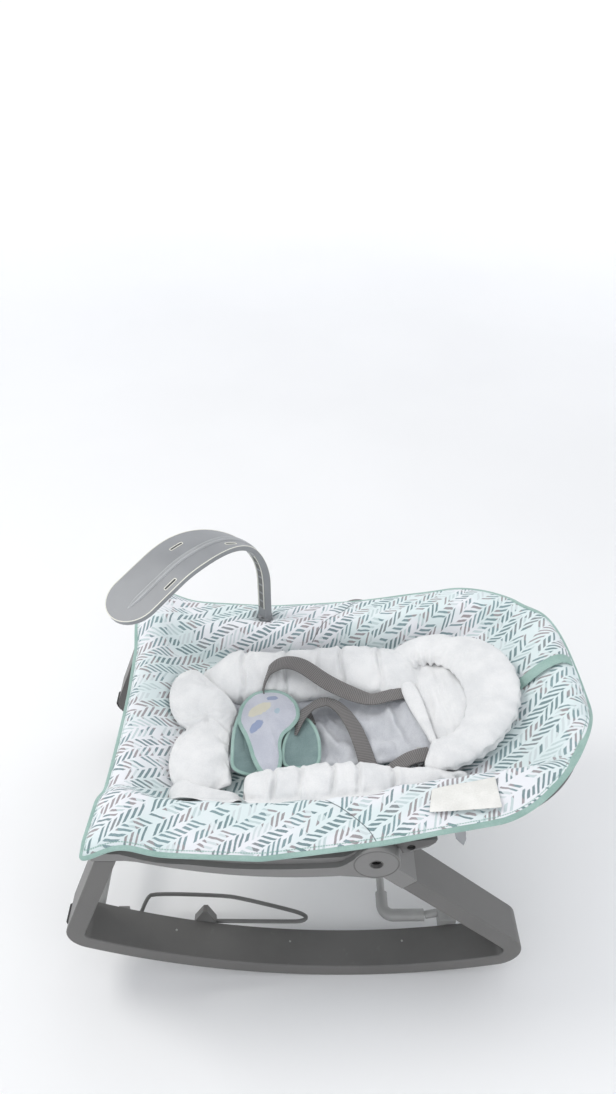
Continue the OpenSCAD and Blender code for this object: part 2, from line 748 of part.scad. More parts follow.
strap_w = 25;
slot_x = hub_x + 66;
slot_y = 76;
module band(a, b) {
    d = b - a;
    flat = norm([d[0], d[1]]);
    translate(a) rotate([0, 0, atan2(d[1], d[0])]) rotate([0, -atan2(d[2], flat), 0])
        translate([0, -strap_w / 2, 0]) cube([norm(d), strap_w, strap_t]);
}

strap_start = [crotch_x + 36, -32, cover_top(crotch_x, 0) + insert_t + 15];
strap_end = [slot_x, -slot_y, cover_top(slot_x, slot_y) + insert_t + 7];
function along_strap(x) =
    strap_start + (strap_end - strap_start) * (x - strap_start[0]) / (strap_end[0] - strap_start[0]);

module waist_strap_front() color(webbing_grey) {
    band(strap_start, along_strap(fold_front - 6));
}

module waist_strap_rear() color(webbing_grey) {
    band(along_strap(fold_back + 8), along_strap(slot_x - 8));
}

module strap_slot() color(frame_grey) {
    translate([slot_x, -slot_y, cover_top(slot_x, slot_y) + insert_t + 3]) difference() {
        translate([-4, -17, -2]) cube([10, 34, 4]);
        translate([-1, -13.5, -3]) cube([4, 27, 6]);
    }
}

module head_strap() color(mint) {
    translate([hub_x + 228, -5, cover_top(hub_x + 228, 0) + 8])
        rotate([0, -39, 0]) cube([62, 12, 2]);
}

module blank_label() color(insert_white) {
    x0 = hub_x + 84;
    translate([x0, -200, cover_top(x0, 200) + 1]) rotate([0, -12, 0]) cube([70, 28, 0.8]);
}

rocker_hoop();  // rocker_hoop_left
to_right() rocker_hoop();  // rocker_hoop_right
hoop_cover();  // hoop_cover_left
to_right() hoop_cover();  // hoop_cover_right
side_arm();  // side_arm_left
to_right() side_arm();  // side_arm_right
hub_pin();  // hub_pin_left
to_right() hub_pin();  // hub_pin_right
hub_screws();
cover_screws();
front_cross_tube();
rear_cross_tube();
rear_elbow();  // rear_elbow_left
to_right() rear_elbow();  // rear_elbow_right
rear_link();  // rear_link_left
to_right() rear_link();  // rear_link_right
front_stop();  // front_stop_left
to_right() front_stop();  // front_stop_right
kickstand_lug();  // kickstand_lug_left
to_right() kickstand_lug();  // kickstand_lug_right
kickstand_clip();  // kickstand_clip_left
to_right() kickstand_clip();  // kickstand_clip_right
kickstand();  // kickstand_left
to_right() kickstand();  // kickstand_right
seat_frame_tube();
seat_saddles();  // seat_saddles_left
to_right() seat_saddles();  // seat_saddles_right
saddle_bolts();
recline_bracket();  // recline_bracket_left
to_right() recline_bracket();  // recline_bracket_right
bracket_screws();
back_frame_tube();
cover_hook();  // cover_hook_left
to_right() cover_hook();  // cover_hook_right
toy_bar_socket();
toy_bar();
seat_pad();
back_pad();
insert_seat();
insert_back();
bolster(bolster_seat_x[0], bolster_seat_x[1]);  // bolster_left_seat
to_right() bolster(bolster_seat_x[0], bolster_seat_x[1]);  // bolster_right_seat
bolster(bolster_back_x[0], bolster_back_x[1]);  // bolster_left_back
to_right() bolster(bolster_back_x[0], bolster_back_x[1]);  // bolster_right_back
head_pillow();
crotch_panel();
crotch_strap();
buckle();
waist_strap_front();  // waist_strap_left_front
to_right() waist_strap_front();  // waist_strap_right_front
waist_strap_rear();  // waist_strap_left_rear
to_right() waist_strap_rear();  // waist_strap_right_rear
strap_slot();  // strap_slot_left
to_right() strap_slot();  // strap_slot_right
head_strap();
blank_label();
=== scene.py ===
import bpy
import bmesh
import json
import math
import numpy as np
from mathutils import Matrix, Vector, noise

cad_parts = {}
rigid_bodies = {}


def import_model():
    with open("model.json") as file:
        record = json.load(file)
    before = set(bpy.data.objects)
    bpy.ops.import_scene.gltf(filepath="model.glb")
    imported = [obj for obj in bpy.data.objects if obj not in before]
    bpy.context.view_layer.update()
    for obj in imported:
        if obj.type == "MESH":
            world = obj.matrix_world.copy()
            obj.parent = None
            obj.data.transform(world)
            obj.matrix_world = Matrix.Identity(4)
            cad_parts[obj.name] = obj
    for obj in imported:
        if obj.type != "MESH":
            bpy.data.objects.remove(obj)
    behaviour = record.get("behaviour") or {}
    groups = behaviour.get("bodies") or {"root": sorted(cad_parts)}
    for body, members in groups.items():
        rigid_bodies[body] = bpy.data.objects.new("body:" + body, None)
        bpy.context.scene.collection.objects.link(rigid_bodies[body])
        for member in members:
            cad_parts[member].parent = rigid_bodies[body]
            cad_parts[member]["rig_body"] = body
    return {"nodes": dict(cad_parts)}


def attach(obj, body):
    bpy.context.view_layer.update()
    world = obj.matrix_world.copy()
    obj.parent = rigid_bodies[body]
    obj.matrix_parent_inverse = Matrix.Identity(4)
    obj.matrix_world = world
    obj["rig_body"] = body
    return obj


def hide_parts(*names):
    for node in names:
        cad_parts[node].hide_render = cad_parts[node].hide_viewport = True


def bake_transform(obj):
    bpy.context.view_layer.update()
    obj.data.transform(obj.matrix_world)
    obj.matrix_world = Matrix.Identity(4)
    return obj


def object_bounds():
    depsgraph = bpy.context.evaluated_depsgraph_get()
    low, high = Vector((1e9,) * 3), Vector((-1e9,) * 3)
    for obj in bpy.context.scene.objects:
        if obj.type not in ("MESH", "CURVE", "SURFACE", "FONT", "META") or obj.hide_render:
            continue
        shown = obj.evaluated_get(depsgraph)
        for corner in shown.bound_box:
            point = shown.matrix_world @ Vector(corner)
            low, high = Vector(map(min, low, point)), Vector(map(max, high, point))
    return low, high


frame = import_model()
cad_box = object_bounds()
nodes = frame["nodes"]
scene = bpy.context.scene

# ---- shape of the cover, in mm, as in the CAD
HUB_X, HUB_Z = 57.2, 288.0
FOOT_X, HEAD_X, HEAD_START = HUB_X - 371, HUB_X + 316, HUB_X + 148
HEAD_RIM_X = HEAD_X - 1.5
FOLD_FRONT, FOLD_BACK = HUB_X - 29, HUB_X + 11
WAIST_X = HUB_X - 148
THICK = 14.0


def ease(t):
    k = np.clip(t, 0.0, 1.0)
    return k * k * (3 - 2 * k)


def bell(t):
    return np.exp(-t ** 2)


def cover_w(x):
    x = np.asarray(x, float)
    u = np.clip((x - HEAD_START) / (HEAD_X - HEAD_START), 0, 1)
    a = 240 - 17 * np.maximum(0, (x - WAIST_X) / (HEAD_START - WAIST_X))
    b = 223 * np.power(1 - np.power(u, 1.7), 1 / 1.7)
    return np.where(x < HEAD_START, a, b)


def cover_z(x):
    x = np.asarray(x, float)
    d = x - WAIST_X
    a = 298 - 0.076 * d + 18 * bell((d + 178) / 35)
    b = 298 + 0.08 * d + 0.00026 * d * d - 0.03 * np.maximum(0, x - HEAD_X + 42) ** 2
    return np.where(d < 0, a, b)


def pocket(x, y, edge=132, wall=31):
    """Depth of the pocket, with side walls that start at |y| = edge."""
    x, y = np.asarray(x, float), np.asarray(y, float)
    return (45 * (0.45 + 0.55 * ease((x - FOOT_X) / 110)) * (1 - 0.35 * ease((x - HUB_X - 60) / 140))
            * (1 - ease((x - HUB_X - 210) / 65)) * (1 - ease((np.abs(y) - edge) / wall)))


def wide_pocket(x, y):
    """The visible pocket: same depth, with a softer wall."""
    return pocket(x, y, 130, 42 - 15 * ease((x - 50) / 50) * ease(-y / 40))


def cover_top(x, y):
    return cover_z(x) + THICK - pocket(x, y)


def fractal(x, y, z, size):
    points = zip(np.ravel(x), np.ravel(y), np.ravel(z + np.zeros_like(x)))
    values = [noise.fractal(Vector((a / size, b / size, c / size)), 1.0, 2.0, 3) for a, b, c in points]
    return np.array(values).reshape(np.shape(x))


def crumple(co, size, stretch=(1, 1, 1)):
    """Fractal noise at each point, for uneven cloth."""
    return fractal(*(co * stretch).T, size)


# ---- shader helpers
def operator(name, swapped=False):
    def call(self, other=None):
        return self.graph.m(name, other, self) if swapped else self.graph.m(name, self, other)
    return call


class Signal:
    """A shader output that takes Python arithmetic."""

    def __init__(self, graph, socket):
        self.graph, self.socket = graph, socket

    __add__ = __radd__ = operator("ADD")
    __mul__ = __rmul__ = operator("MULTIPLY")
    __sub__, __rsub__ = operator("SUBTRACT"), operator("SUBTRACT", True)
    __pow__, __mod__, __abs__ = operator("POWER"), operator("FLOORED_MODULO"), operator("ABSOLUTE")
    floor, fract, sin = operator("FLOOR"), operator("FRACT"), operator("SINE")


class Graph:
    """Builds one Principled material out of small node calls."""

    def __init__(self, name, color, rough=0.5, sheen=0.0, coat=0.0, specular=0.5):
        self.mat = bpy.data.materials.new(name)
        self.mat.use_nodes = True
        self.tree = self.mat.node_tree
        self.bsdf = self.tree.nodes["Principled BSDF"]
        settings = {"Base Color": (*color, 1), "Roughness": rough, "Sheen Weight": sheen,
                    "Sheen Roughness": 0.5,
                    "Coat Weight": coat, "Specular IOR Level": specular}
        for key, value in settings.items():
            self.set(key, value)

    def set(self, key, value):
        self.put(self.bsdf.inputs[key], value)

    def put(self, socket, value):
        if isinstance(value, Signal):
            self.tree.links.new(value.socket, socket)
        elif value is not None:
            socket.default_value = value

    def node(self, kind, inputs=None, **props):
        n = self.tree.nodes.new(kind)
        for k, v in props.items():
            setattr(n, k, v)
        for k, v in (inputs or {}).items():
            self.put(n.inputs[k], v)
        return n

    def out(self, kind, which=0, inputs=None, **props):
        return Signal(self, self.node(kind, inputs, **props).outputs[which])

    def m(self, op, a, b=None):
        return self.out("ShaderNodeMath", 0, {0: a, 1: b}, operation=op)

    def mix(self, fac, a, b):
        a, b = ((*c, 1) if isinstance(c, tuple) else c for c in (a, b))
        return self.out("ShaderNodeMix", 2, {0: fac, 6: a, 7: b}, data_type="RGBA")

    def rest(self):
        return self.out("ShaderNodeAttribute", "Vector", attribute_name="rest")

    def parts(self, kind, signal):
        return [Signal(self, o) for o in self.node(kind, {0: signal}).outputs]

    def xyz(self, vector):
        return self.parts("ShaderNodeSeparateXYZ", vector)

    def vector(self, x, y, z):
        return self.out("ShaderNodeCombineXYZ", 0, {0: x, 1: y, 2: z})

    def value(self, name):
        return self.out("ShaderNodeAttribute", "Fac", attribute_name=name)

    def noise(self, vector, scale, detail=2.0, rough=0.5):
        inputs = {"Vector": vector, "Scale": scale, "Detail": detail, "Roughness": rough}
        return self.out("ShaderNodeTexNoise", "Fac", inputs)

    def creases(self, vector, stretch, scale, rough):
        return self.noise(self.out("ShaderNodeMapping", 0, {0: vector, 3: stretch}), scale, 5, rough)

    def span(self, value, lo, hi, out_lo=0.0, out_hi=1.0):
        inputs = {0: value, 1: lo, 2: hi, 3: out_lo, 4: out_hi}
        return self.out("ShaderNodeMapRange", 0, inputs, interpolation_type="SMOOTHSTEP")

    def line(self, value, inner, outer):
        """1 where |value| is under inner, falling to 0 at outer."""
        return self.span(abs(value), inner, outer, 1.0, 0.0)

    def bump(self, heights, strength=0.5):
        """heights: list of (signal, distance in metres)"""
        normal = None
        for height, distance in heights:
            inputs = {"Height": height, "Distance": distance, "Strength": strength, "Normal": normal}
            normal = self.out("ShaderNodeBump", 0, inputs)
        self.set("Normal", normal)


def srgb(code):
    out = []
    for i in (0, 2, 4):
        c = int(code[i:i + 2], 16) / 255
        out.append(c / 12.92 if c <= 0.04045 else ((c + 0.055) / 1.055) ** 2.4)
    return tuple(out)


def tint(color, k, lift=0.0):
    return tuple(min(1, c * k + lift) for c in color)


def turned(x, y, degrees):
    c, s = math.cos(math.radians(degrees)), math.sin(math.radians(degrees))
    return x * c + y * s, y * c - x * s


def weave(x, y, pitch):
    """Height of a plain weave with threads pitch mm apart."""
    k = 2 * math.pi / pitch
    return (x * k).sin() * (y * k).sin()


def plastic(name, code, rough=0.42, lift=0.14):
    """Moulded plastic: fine spark-eroded grain, slow tone drift, a little rubbed sheen on edges."""
    color = srgb(code)
    g = Graph(name, color, rough)
    v = g.rest()
    drift = g.noise(v, 0.014, 3)
    tone = g.span(drift, 0.3, 0.7)
    wear = g.span(g.out("ShaderNodeNewGeometry", "Pointiness"), 0.52, 0.62)
    scuff = g.span(g.noise(v, 0.09, 6, 0.7), 0.60, 0.72)
    base = g.mix(tone, tint(color, 0.93), tint(color, 1.07))
    base = g.mix(wear * 0.5, base, tint(color, 1, lift))
    g.set("Base Color", g.mix(scuff * 0.10, base, tint(color, 1, lift * 1.4)))
    g.set("Roughness", tone * 0.08 + (scuff * 0.08 + (rough - 0.03)))
    g.bump([(g.noise(v, 1.6, 2, 0.6), 0.00006), (drift, 0.0004)], 0.45)
    return g.mat


def metal(name, code, rough=0.32):
    color = srgb(code)
    g = Graph(name, color, rough)
    g.set("Metallic", 0.85)
    v = g.rest()
    cloud = g.noise(v, 0.03, 4)
    fine = g.noise(v, 0.9, 3, 0.7)
    g.set("Base Color", g.mix(g.span(cloud, 0.3, 0.7), tint(color, 0.86), color))
    g.set("Roughness", g.span(cloud + fine * 0.3, 0.4, 0.9, rough, rough + 0.16))
    g.bump([(fine, 0.00004)], 0.4)
    return g.mat


def painted(name, code, rough=0.38):
    """Powder-coated or painted tube with a fine orange peel."""
    color = srgb(code)
    g = Graph(name, color, rough, coat=0.12)
    v = g.rest()
    g.set("Base Color", g.mix(g.span(g.noise(v, 0.02, 3), 0.35, 0.65), tint(color, 0.9), tint(color, 1.08)))
    g.bump([(g.noise(v, 0.5, 2), 0.0001)], 0.35)
    return g.mat


def rubber(name, code):
    color = srgb(code)
    g = Graph(name, color, 0.75)
    v = g.rest()
    g.set("Base Color", g.mix(g.span(g.noise(v, 0.05, 4), 0.35, 0.7), color, tint(color, 1.5)))
    g.bump([(g.noise(v, 0.8, 3), 0.0001)], 0.5)
    return g.mat


def cloth(name, code, shade, pitch=0.9, rough=0.85, fold=0.0009, shapes=()):
    """Plain woven or brushed polyester in one colour, with a soft mottle and small creases.

    shapes: printed ovals, as (x, y, half length, half width, degrees, colour) in mm."""
    g = Graph(name, srgb(code), rough, sheen=0.25, specular=0.2)
    v = g.rest()
    x, y, z = g.xyz(v)
    fine = g.noise(v, 0.55, 3, 0.6)
    tone = g.noise(v, 0.022, 4, 0.55) * 0.7 + fine * 0.3
    base = g.mix(g.span(tone, 0.36, 0.64), srgb(shade), srgb(code))
    wobble = (g.noise(v, 0.18, 2) - 0.5) * 0.9 if shapes else None
    for cx, cy, a, b, degrees, ink in shapes:
        p, q = turned(x - cx, y - cy, degrees)
        p, q = p * (1 / a), q * (1 / b)
        base = g.mix(g.span(p * p + q * q + wobble, 0.85, 1.1, 0.85, 0.0), base, srgb(ink))
    g.set("Base Color", base)
    crease = g.creases(v, (1.0, 0.45, 1.0), 0.05, 0.62)
    g.bump([(weave(x + z, y, pitch), 0.00012), (fine, 0.0003), (crease, fold)], 0.6)
    return g.mat


def webbing(name, code):
    """Ribbed polyester webbing. 'across' is mm over its width and 'along' mm down its length."""
    color = srgb(code)
    g = Graph(name, color, 0.62, sheen=0.15, specular=0.35)
    along, across = g.value("along"), g.value("across")
    rib = (along * (2 * math.pi / 2.7)).sin()
    twill = ((across * 1.5 + along) * (2 * math.pi / 1.1)).sin()
    base = g.mix(g.span(rib * 0.6 + twill * 0.15, -0.5, 0.5), tint(color, 0.62), tint(color, 1.18))
    g.set("Base Color", g.mix(g.span(abs(across), 11.9, 12.5), base, tint(color, 0.6)))
    g.bump([(rib, 0.00035), (twill, 0.00012)], 0.8)
    return g.mat


ROW_H, PITCH, LEAN, ROW_TURN = 15.6, 8.6, 15.2, 31.0
INKS = [(0.0, "537276"), (0.37, "8A8182"), (0.42, "BCCBCB"), (0.455, "668488"), (0.515, "8A8182"),
        (0.55, "CAD3D4"), (0.58, "537276"), (0.66, "707779"), (0.71, "BCCBCB")]


def herringbone(name):
    """Printed cover: rows of slanted brush dashes that lean the other way in every second row."""
    g = Graph(name, (0.8, 0.83, 0.82), 0.86, sheen=0.2, specular=0.2)
    v = g.rest()
    x, y, _ = g.xyz(v)
    slow, fast, other = (g.noise(v, *n) - 0.5 for n in ((0.035, 2), (0.35, 2), (0.028, 1)))
    xx, yy = turned(x + (other * 6.0 + fast * 0.7), y + (slow * 8.0 + fast * 0.5), ROW_TURN)
    rows = yy * (1 / ROW_H)
    row = rows.floor()
    fy = rows - row - 0.5
    lean = (row % 2.0 * 2.0 - 1.0) * fy * (LEAN / PITCH)
    shift = g.out("ShaderNodeTexWhiteNoise", "Value", {"W": row}, noise_dimensions="1D")
    u = xx * (1 / PITCH) + lean + shift
    k = u.floor()
    fu = u - k - 0.5
    random = g.node("ShaderNodeTexWhiteNoise", {"Vector": g.vector(k, row, 0.0)}, noise_dimensions="3D")
    r1 = Signal(g, random.outputs["Value"])
    r2, r3, _ = g.parts("ShaderNodeSeparateColor", Signal(g, random.outputs["Color"]))
    over_l = abs(fy + (r2 - 0.5) * 0.10) - (0.455 - r1 ** 3.0 * 0.22)
    over_w = abs(fu + (r3 - 0.5) * 0.10) - (r2 * 0.085 + 0.205)
    dash = g.span(over_l, -0.02, 0.03, 1.0, 0.0) * g.span(over_w, -0.022, 0.022, 1.0, 0.0)
    ink = dash * g.m("GREATER_THAN", r3, 0.09)
    dry = g.span(g.noise(v, 1.3, 3, 0.7), 0.38, 0.52, 0.72, 1.0)
    # colour patches run along the rows
    patch = g.noise(g.vector(xx * (1 / 95), row * 0.42, 4.0), 1.0, 1.0) + (r1 - 0.5) * 0.035
    ramp = g.node("ShaderNodeValToRGB", {0: patch})
    ramp.color_ramp.interpolation = "CONSTANT"
    while len(ramp.color_ramp.elements) < len(INKS):
        ramp.color_ramp.elements.new(1.0)
    for e, (at, code) in zip(ramp.color_ramp.elements, INKS):
        e.position = at
        e.color = (*srgb(code), 1)
    ground = g.mix(g.span(g.noise(v, 0.012, 2), 0.42, 0.58), srgb("E6E7EA"), srgb("D9E4E4"))
    base = g.mix(ink * (dry * 0.89), ground, Signal(g, ramp.outputs[0]))
    # topstitch beside the binding, and the seams across the sides
    edge, run, seam = g.value("edge"), g.value("run"), g.value("seam")
    stitch = g.line(edge - 4.9, 0.35, 0.75) * g.line((run * (1 / 3.4)).fract() - 0.5, 0.36, 0.42)
    base = g.mix(stitch * 0.7, base, srgb("7FA89C"))
    g.set("Base Color", g.mix(g.line(seam, 0.35, 0.9) * 0.8, base, srgb("4A5556")))
    crease = g.creases(v, (0.6, 1.0, 1.0), 0.04, 0.6)
    g.bump([(weave(x, y, 0.8), 0.0001), (g.noise(v, 0.5, 3), 0.0002), (crease, 0.0012),
            (stitch, -0.0005)], 0.55)
    return g.mat


M = {
    "frame_plastic": plastic("frame plastic", "605F5D", 0.44),
    "bracket_plastic": plastic("bracket plastic", "4F4E4D", 0.46),
    "buckle_plastic": plastic("buckle plastic", "4B4A4A", 0.36),
    "toy_plastic": plastic("toy bar plastic", "888A8C", 0.40, lift=0.2),
    "screw_steel": metal("screw steel", "A9A9A6", 0.35),
    "dark_screw": metal("dark screw", "2E2D2C", 0.45),
    "grey_tube": painted("grey tube", "9A9A98"),
    "wire": painted("kickstand wire", "636361", 0.34),
    "dark_tube": painted("dark tube", "4B4A49"),
    "rubber": rubber("rubber", "2B2A2A"),
    "cover_fabric": herringbone("cover print"),
    "insert_fabric": cloth("insert fabric", "E7E7E6", "D9DADA", fold=0.0032),
    "mint_fabric": cloth("mint binding", "A3BEB6", "8FADA4", 0.8, fold=0.0005),
    "webbing": webbing("harness webbing", "7E7B79"),
    "label": cloth("blank label", "F2F1EC", "E2E1DB", 0.5, rough=0.7, fold=0.0006),
}
LINING = cloth("cover lining", "D5D9D8", "C3C9C8", 1.1)
PANEL = cloth("insert panel", "CDCFD2", "B7B9BE", fold=0.0034)
POUCH = cloth("pouch print", "C9CBD3", "B9BCC6", 0.8, shapes=[
    (-100, 6, 20, 10, 38, "D8D3BC"), (-82, 30, 9, 5, 10, "8F9BB8"), (-104, -26, 13, 7, 48, "8C9ABA"),
    (-74, 2, 6, 4, 70, "A9BFC9")])
POUCH_DARK = cloth("pouch side", "839897", "718786", 0.8)
# lighter copy of the toy bar plastic: painted highlight along the raised rib
TOY_RIB_PAINTED_HIGHLIGHT = plastic("toy bar rib painted highlight", "9FA1A2", 0.34, lift=0.25)
# near-white plastic for thin trims along the toy bar's edges, slot rims and post ribs: painted highlight
EDGE_PAINTED_HIGHLIGHT = plastic("painted edge highlight", "D9D8CD", 0.4)
# dark plates on the toy bar post stand in for its recesses: painted shade
RECESS_PAINTED_SHADE = plastic("painted recess shade", "4A4A48", 0.6)
THREAD = cloth("stitch thread", "D9DAD8", "B9BAB8", 0.5)


# ---- mesh helpers (points in mm)
def made(name, points, faces, mat, smooth=True, attrs=None):
    mesh = bpy.data.meshes.new(name)
    points = [tuple(float(c) * 0.001 for c in p) for p in points]
    mesh.from_pydata(points, [], [tuple(int(i) for i in f) for f in faces])
    mesh.validate()
    ob = bpy.data.objects.new(name, mesh)
    scene.collection.objects.link(ob)
    for material in (mat if isinstance(mat, list) else [mat]):
        mesh.materials.append(material)
    if smooth:
        shade_smooth(mesh)
    set_rest(ob)
    for k, v in (attrs or {}).items():
        a = mesh.attributes.new(k, "FLOAT", "POINT")
        a.data.foreach_set("value", np.asarray(v, np.float32).ravel())
    fix_normals(ob)
    return ob


def shade_smooth(mesh):
    mesh.polygons.foreach_set("use_smooth", [True] * len(mesh.polygons))


def fix_normals(ob):
    bm = bmesh.new()
    bm.from_mesh(ob.data)
    bmesh.ops.recalc_face_normals(bm, faces=bm.faces)
    bm.to_mesh(ob.data)
    bm.free()


def face_up(ob):
    if ob.data.polygons[0].normal.z < 0:
        ob.data.flip_normals()


def set_rest(ob, places=None):
    """Keeps each point's place at rest, in mm, for the materials."""
    mesh = ob.data
    a = mesh.attributes.get("rest") or mesh.attributes.new("rest", "FLOAT_VECTOR", "POINT")
    a.data.foreach_set("vector", (mm(ob) if places is None else places).astype(np.float32).ravel())


def read(ob, field="co"):
    values = np.zeros(len(ob.data.vertices) * 3)
    ob.data.vertices.foreach_get(field, values)
    return values.reshape(-1, 3)


def mm(ob):
    return read(ob) * 1000


def set_coords(ob, co):
    ob.data.vertices.foreach_set("co", np.asarray(co, float).ravel())
    ob.data.update()


def set_mm(ob, co):
    set_coords(ob, co * 0.001)


def grid_faces(rows, cols, close_rows=False, close_cols=False, start=0):
    f = []
    for i in range(rows if close_rows else rows - 1):
        for j in range(cols if close_cols else cols - 1):
            a, b = i * cols + j, i * cols + (j + 1) % cols
            c, d = ((i + 1) % rows) * cols + (j + 1) % cols, ((i + 1) % rows) * cols + j
            f.append((start + a, start + b, start + c, start + d))
    return f


def tube_faces(rows, cols):
    caps = [tuple(range(cols - 1, -1, -1)), tuple((rows - 1) * cols + j for j in range(cols))]
    return grid_faces(rows, cols, False, True) + caps


def run_along(line):
    return np.r_[0, np.cumsum(np.linalg.norm(np.diff(line, axis=0), axis=1))]


def smooth_line(points, step=4.0, closed=False):
    """Catmull-Rom through the points, resampled every step mm."""
    p = [np.array(q, float) for q in points]
    n = len(p)
    out = []
    for i in range(n if closed else n - 1):
        a, b = p[(i - 1) % n] if closed or i > 0 else p[0] * 2 - p[1], p[i % n]
        c, d = p[(i + 1) % n], p[(i + 2) % n] if closed or i + 2 < n else p[-1] * 2 - p[-2]
        k = max(2, int(np.linalg.norm(c - b) / 1.0))
        for t in np.linspace(0, 1, k, endpoint=False):
            curve = 2 * b + (c - a) * t + (2 * a - 5 * b + 4 * c - d) * t * t + (3 * b - a - 3 * c + d) * t ** 3
            out.append(0.5 * curve)
    if not closed:
        out.append(p[-1])
    return resample(np.array(out), step, closed)


def smooth_outline(points, step):
    return smooth_line([(x, y, 0) for x, y in points], step, True)[:, :2]


def resample(line, step, closed=False):
    line = np.asarray(line, float)
    if closed:
        line = np.vstack([line, line[:1]])
    d = run_along(line)
    n = max(3, int(round(d[-1] / step)))
    s = np.linspace(0, d[-1], n + 1)
    if closed:
        s = s[:-1]
    return np.stack([np.interp(s, d, line[:, i]) for i in range(3)], axis=1)


def frames_along(line, up, closed=False):
    """Unit side and up at each point. up: one vector or one per point."""
    t = np.roll(line, -1, 0) - np.roll(line, 1, 0) if closed else np.gradient(line, axis=0)
    t /= np.linalg.norm(t, axis=1)[:, None]
    side = np.cross(np.broadcast_to(np.asarray(up, float), line.shape), t)
    side /= np.maximum(1e-9, np.linalg.norm(side, axis=1))[:, None]
    return side, np.cross(t, side)


def sweep(name, line, section, up, mat, slot, closed=False, scale=None, subdiv=0):
    """section: list of (across, high) in mm. scale: per-point (across, high) factors."""
    line = np.asarray(line, float)
    side, high = frames_along(line, up, closed)
    sec = np.array(section, float)
    rows, cols = len(line), len(sec)
    sc = np.ones((rows, 2)) if scale is None else np.asarray(scale, float)
    pts = (line[:, None, :] + side[:, None, :] * (sec[None, :, 0] * sc[:, None, 0])[..., None]
           + high[:, None, :] * (sec[None, :, 1] * sc[:, None, 1])[..., None])
    faces = grid_faces(rows, cols, True, True) if closed else tube_faces(rows, cols)
    attrs = {"along": np.repeat(run_along(line), cols), "across": np.tile(sec[:, 0], rows)}
    ob = made(name, pts.reshape(-1, 3), faces, mat, attrs=attrs)
    if subdiv:
        subdivide(ob)
    return ob


def subdivide(ob):
    s = ob.modifiers.new("Subdivision", "SUBSURF")
    s.levels = s.render_levels = 1


def thicken(ob, thick):
    s = ob.modifiers.new("Solidify", "SOLIDIFY")
    s.thickness = thick * 0.001
    s.offset = -1


def across_joint(ob):
    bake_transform(ob)


def signed_power(t, power):
    return math.copysign(abs(t) ** power, t)


def oval(a, b, n=16, power=2.0):
    turns = [2 * math.pi * i / n for i in range(n)]
    return [(a * signed_power(math.cos(t), 2 / power), b * signed_power(math.sin(t), 2 / power)) for t in turns]


def blunt(t, power, least):
    """Thickness along a piece with rounded ends at t = -1 and 1."""
    return np.maximum(np.power(np.clip(1 - np.abs(t) ** power, 0, 1), 0.5), least)


def groove(ob, line, depth, width):
    """Pushes points near a line (mm) inward along their normals."""
    co = mm(ob)
    nrm = read(ob, "normal")
    line = resample(line, 1.5)
    d = np.min(np.linalg.norm(co[:, None, :] - line[None, :, :], axis=2), axis=1)
    push = depth * bell(d / width) - 0.25 * depth * bell((d - 2.2 * width) / (1.4 * width))
    set_mm(ob, co - nrm * push[:, None])


def puff(ob, pins=None, cap=6.0, pressure=3.0, shrink=-0.05, frames=20):
    """Cloth simulation of a stuffed piece: it swells under pressure, held at its seams."""
    start = read(ob)
    mod = ob.modifiers.new("Cloth", "CLOTH")
    s = mod.settings
    if pins is not None:
        group = ob.vertex_groups.new(name="seams")
        for i, w in enumerate(pins):
            if w > 0.02:
                group.add([i], float(min(1, w)), "REPLACE")
        s.vertex_group_mass = "seams"
        s.pin_stiffness = 1.0
    s.quality = 6
    s.mass = 0.2
    s.use_pressure = True
    s.uniform_pressure_force = pressure
    s.effector_weights.gravity = 0
    s.tension_stiffness = s.compression_stiffness = 12
    s.shear_stiffness = 5
    s.bending_stiffness = 0.6
    s.shrink_min = shrink
    mod.collision_settings.use_collision = False
    mod.point_cache.frame_start, mod.point_cache.frame_end = 1, frames
    for f in range(1, frames + 1):
        scene.frame_set(f)
    move = read(ob.evaluated_get(bpy.context.evaluated_depsgraph_get())) - start
    ob.modifiers.remove(mod)
    scene.frame_set(1)
    if not np.isfinite(move).all():
        return
    far = np.linalg.norm(move, axis=1)
    k = np.where(far > cap * 0.001, cap * 0.001 / np.maximum(far, 1e-9), 1.0)
    set_coords(ob, start + move * k[:, None])


def lay_on_cover(ob):
    """Keeps a piece's underside on top of the cover."""
    co = mm(ob)
    co[:, 2] = np.maximum(co[:, 2], cover_top(co[:, 0], co[:, 1]) + 1.0)
    set_mm(ob, co)


# ---- rigid parts: bevelled copies of the CAD
def bevelled(name, slot, width=1.2, round_face=None, segments=3):
    """A copy of a CAD part with rounded edges. round_face: |y| in mm of the face with the full bevel."""
    bm = bmesh.new()
    bm.from_mesh(nodes[name].data)
    bmesh.ops.remove_doubles(bm, verts=bm.verts, dist=0.00001)
    bmesh.ops.dissolve_limit(bm, angle_limit=math.radians(0.6), verts=bm.verts, edges=bm.edges)
    mesh = bpy.data.meshes.new(name + "_finished")
    layer = bm.edges.layers.float.get("bevel_weight_edge") or bm.edges.layers.float.new("bevel_weight_edge")
    for e in bm.edges:
        if len(e.link_faces) == 2 and e.calc_face_angle(0) >= math.radians(32):
            full = not round_face or all(abs(abs(v.co.y) * 1000 - round_face) < 0.2 for v in e.verts)
            e[layer] = 1.0 if full else 0.25
    bm.to_mesh(mesh)
    bm.free()
    ob = bpy.data.objects.new(name + "_finished", mesh)
    scene.collection.objects.link(ob)
    mesh.materials.clear()
    mesh.materials.append(M[slot])
    b = ob.modifiers.new("Bevel", "BEVEL")
    b.limit_method = "WEIGHT"
    b.width = width * 0.001
    b.segments = segments
    b.use_clamp_overlap = True
    b.harden_normals = True
    shade_smooth(mesh)
    mesh.set_sharp_from_angle(angle=math.radians(38))
    set_rest(ob)
    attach(ob, nodes[name]["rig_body"])
    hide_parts(name)


def both(*names):
    return [name + side for name in names for side in ("_left", "_right")]


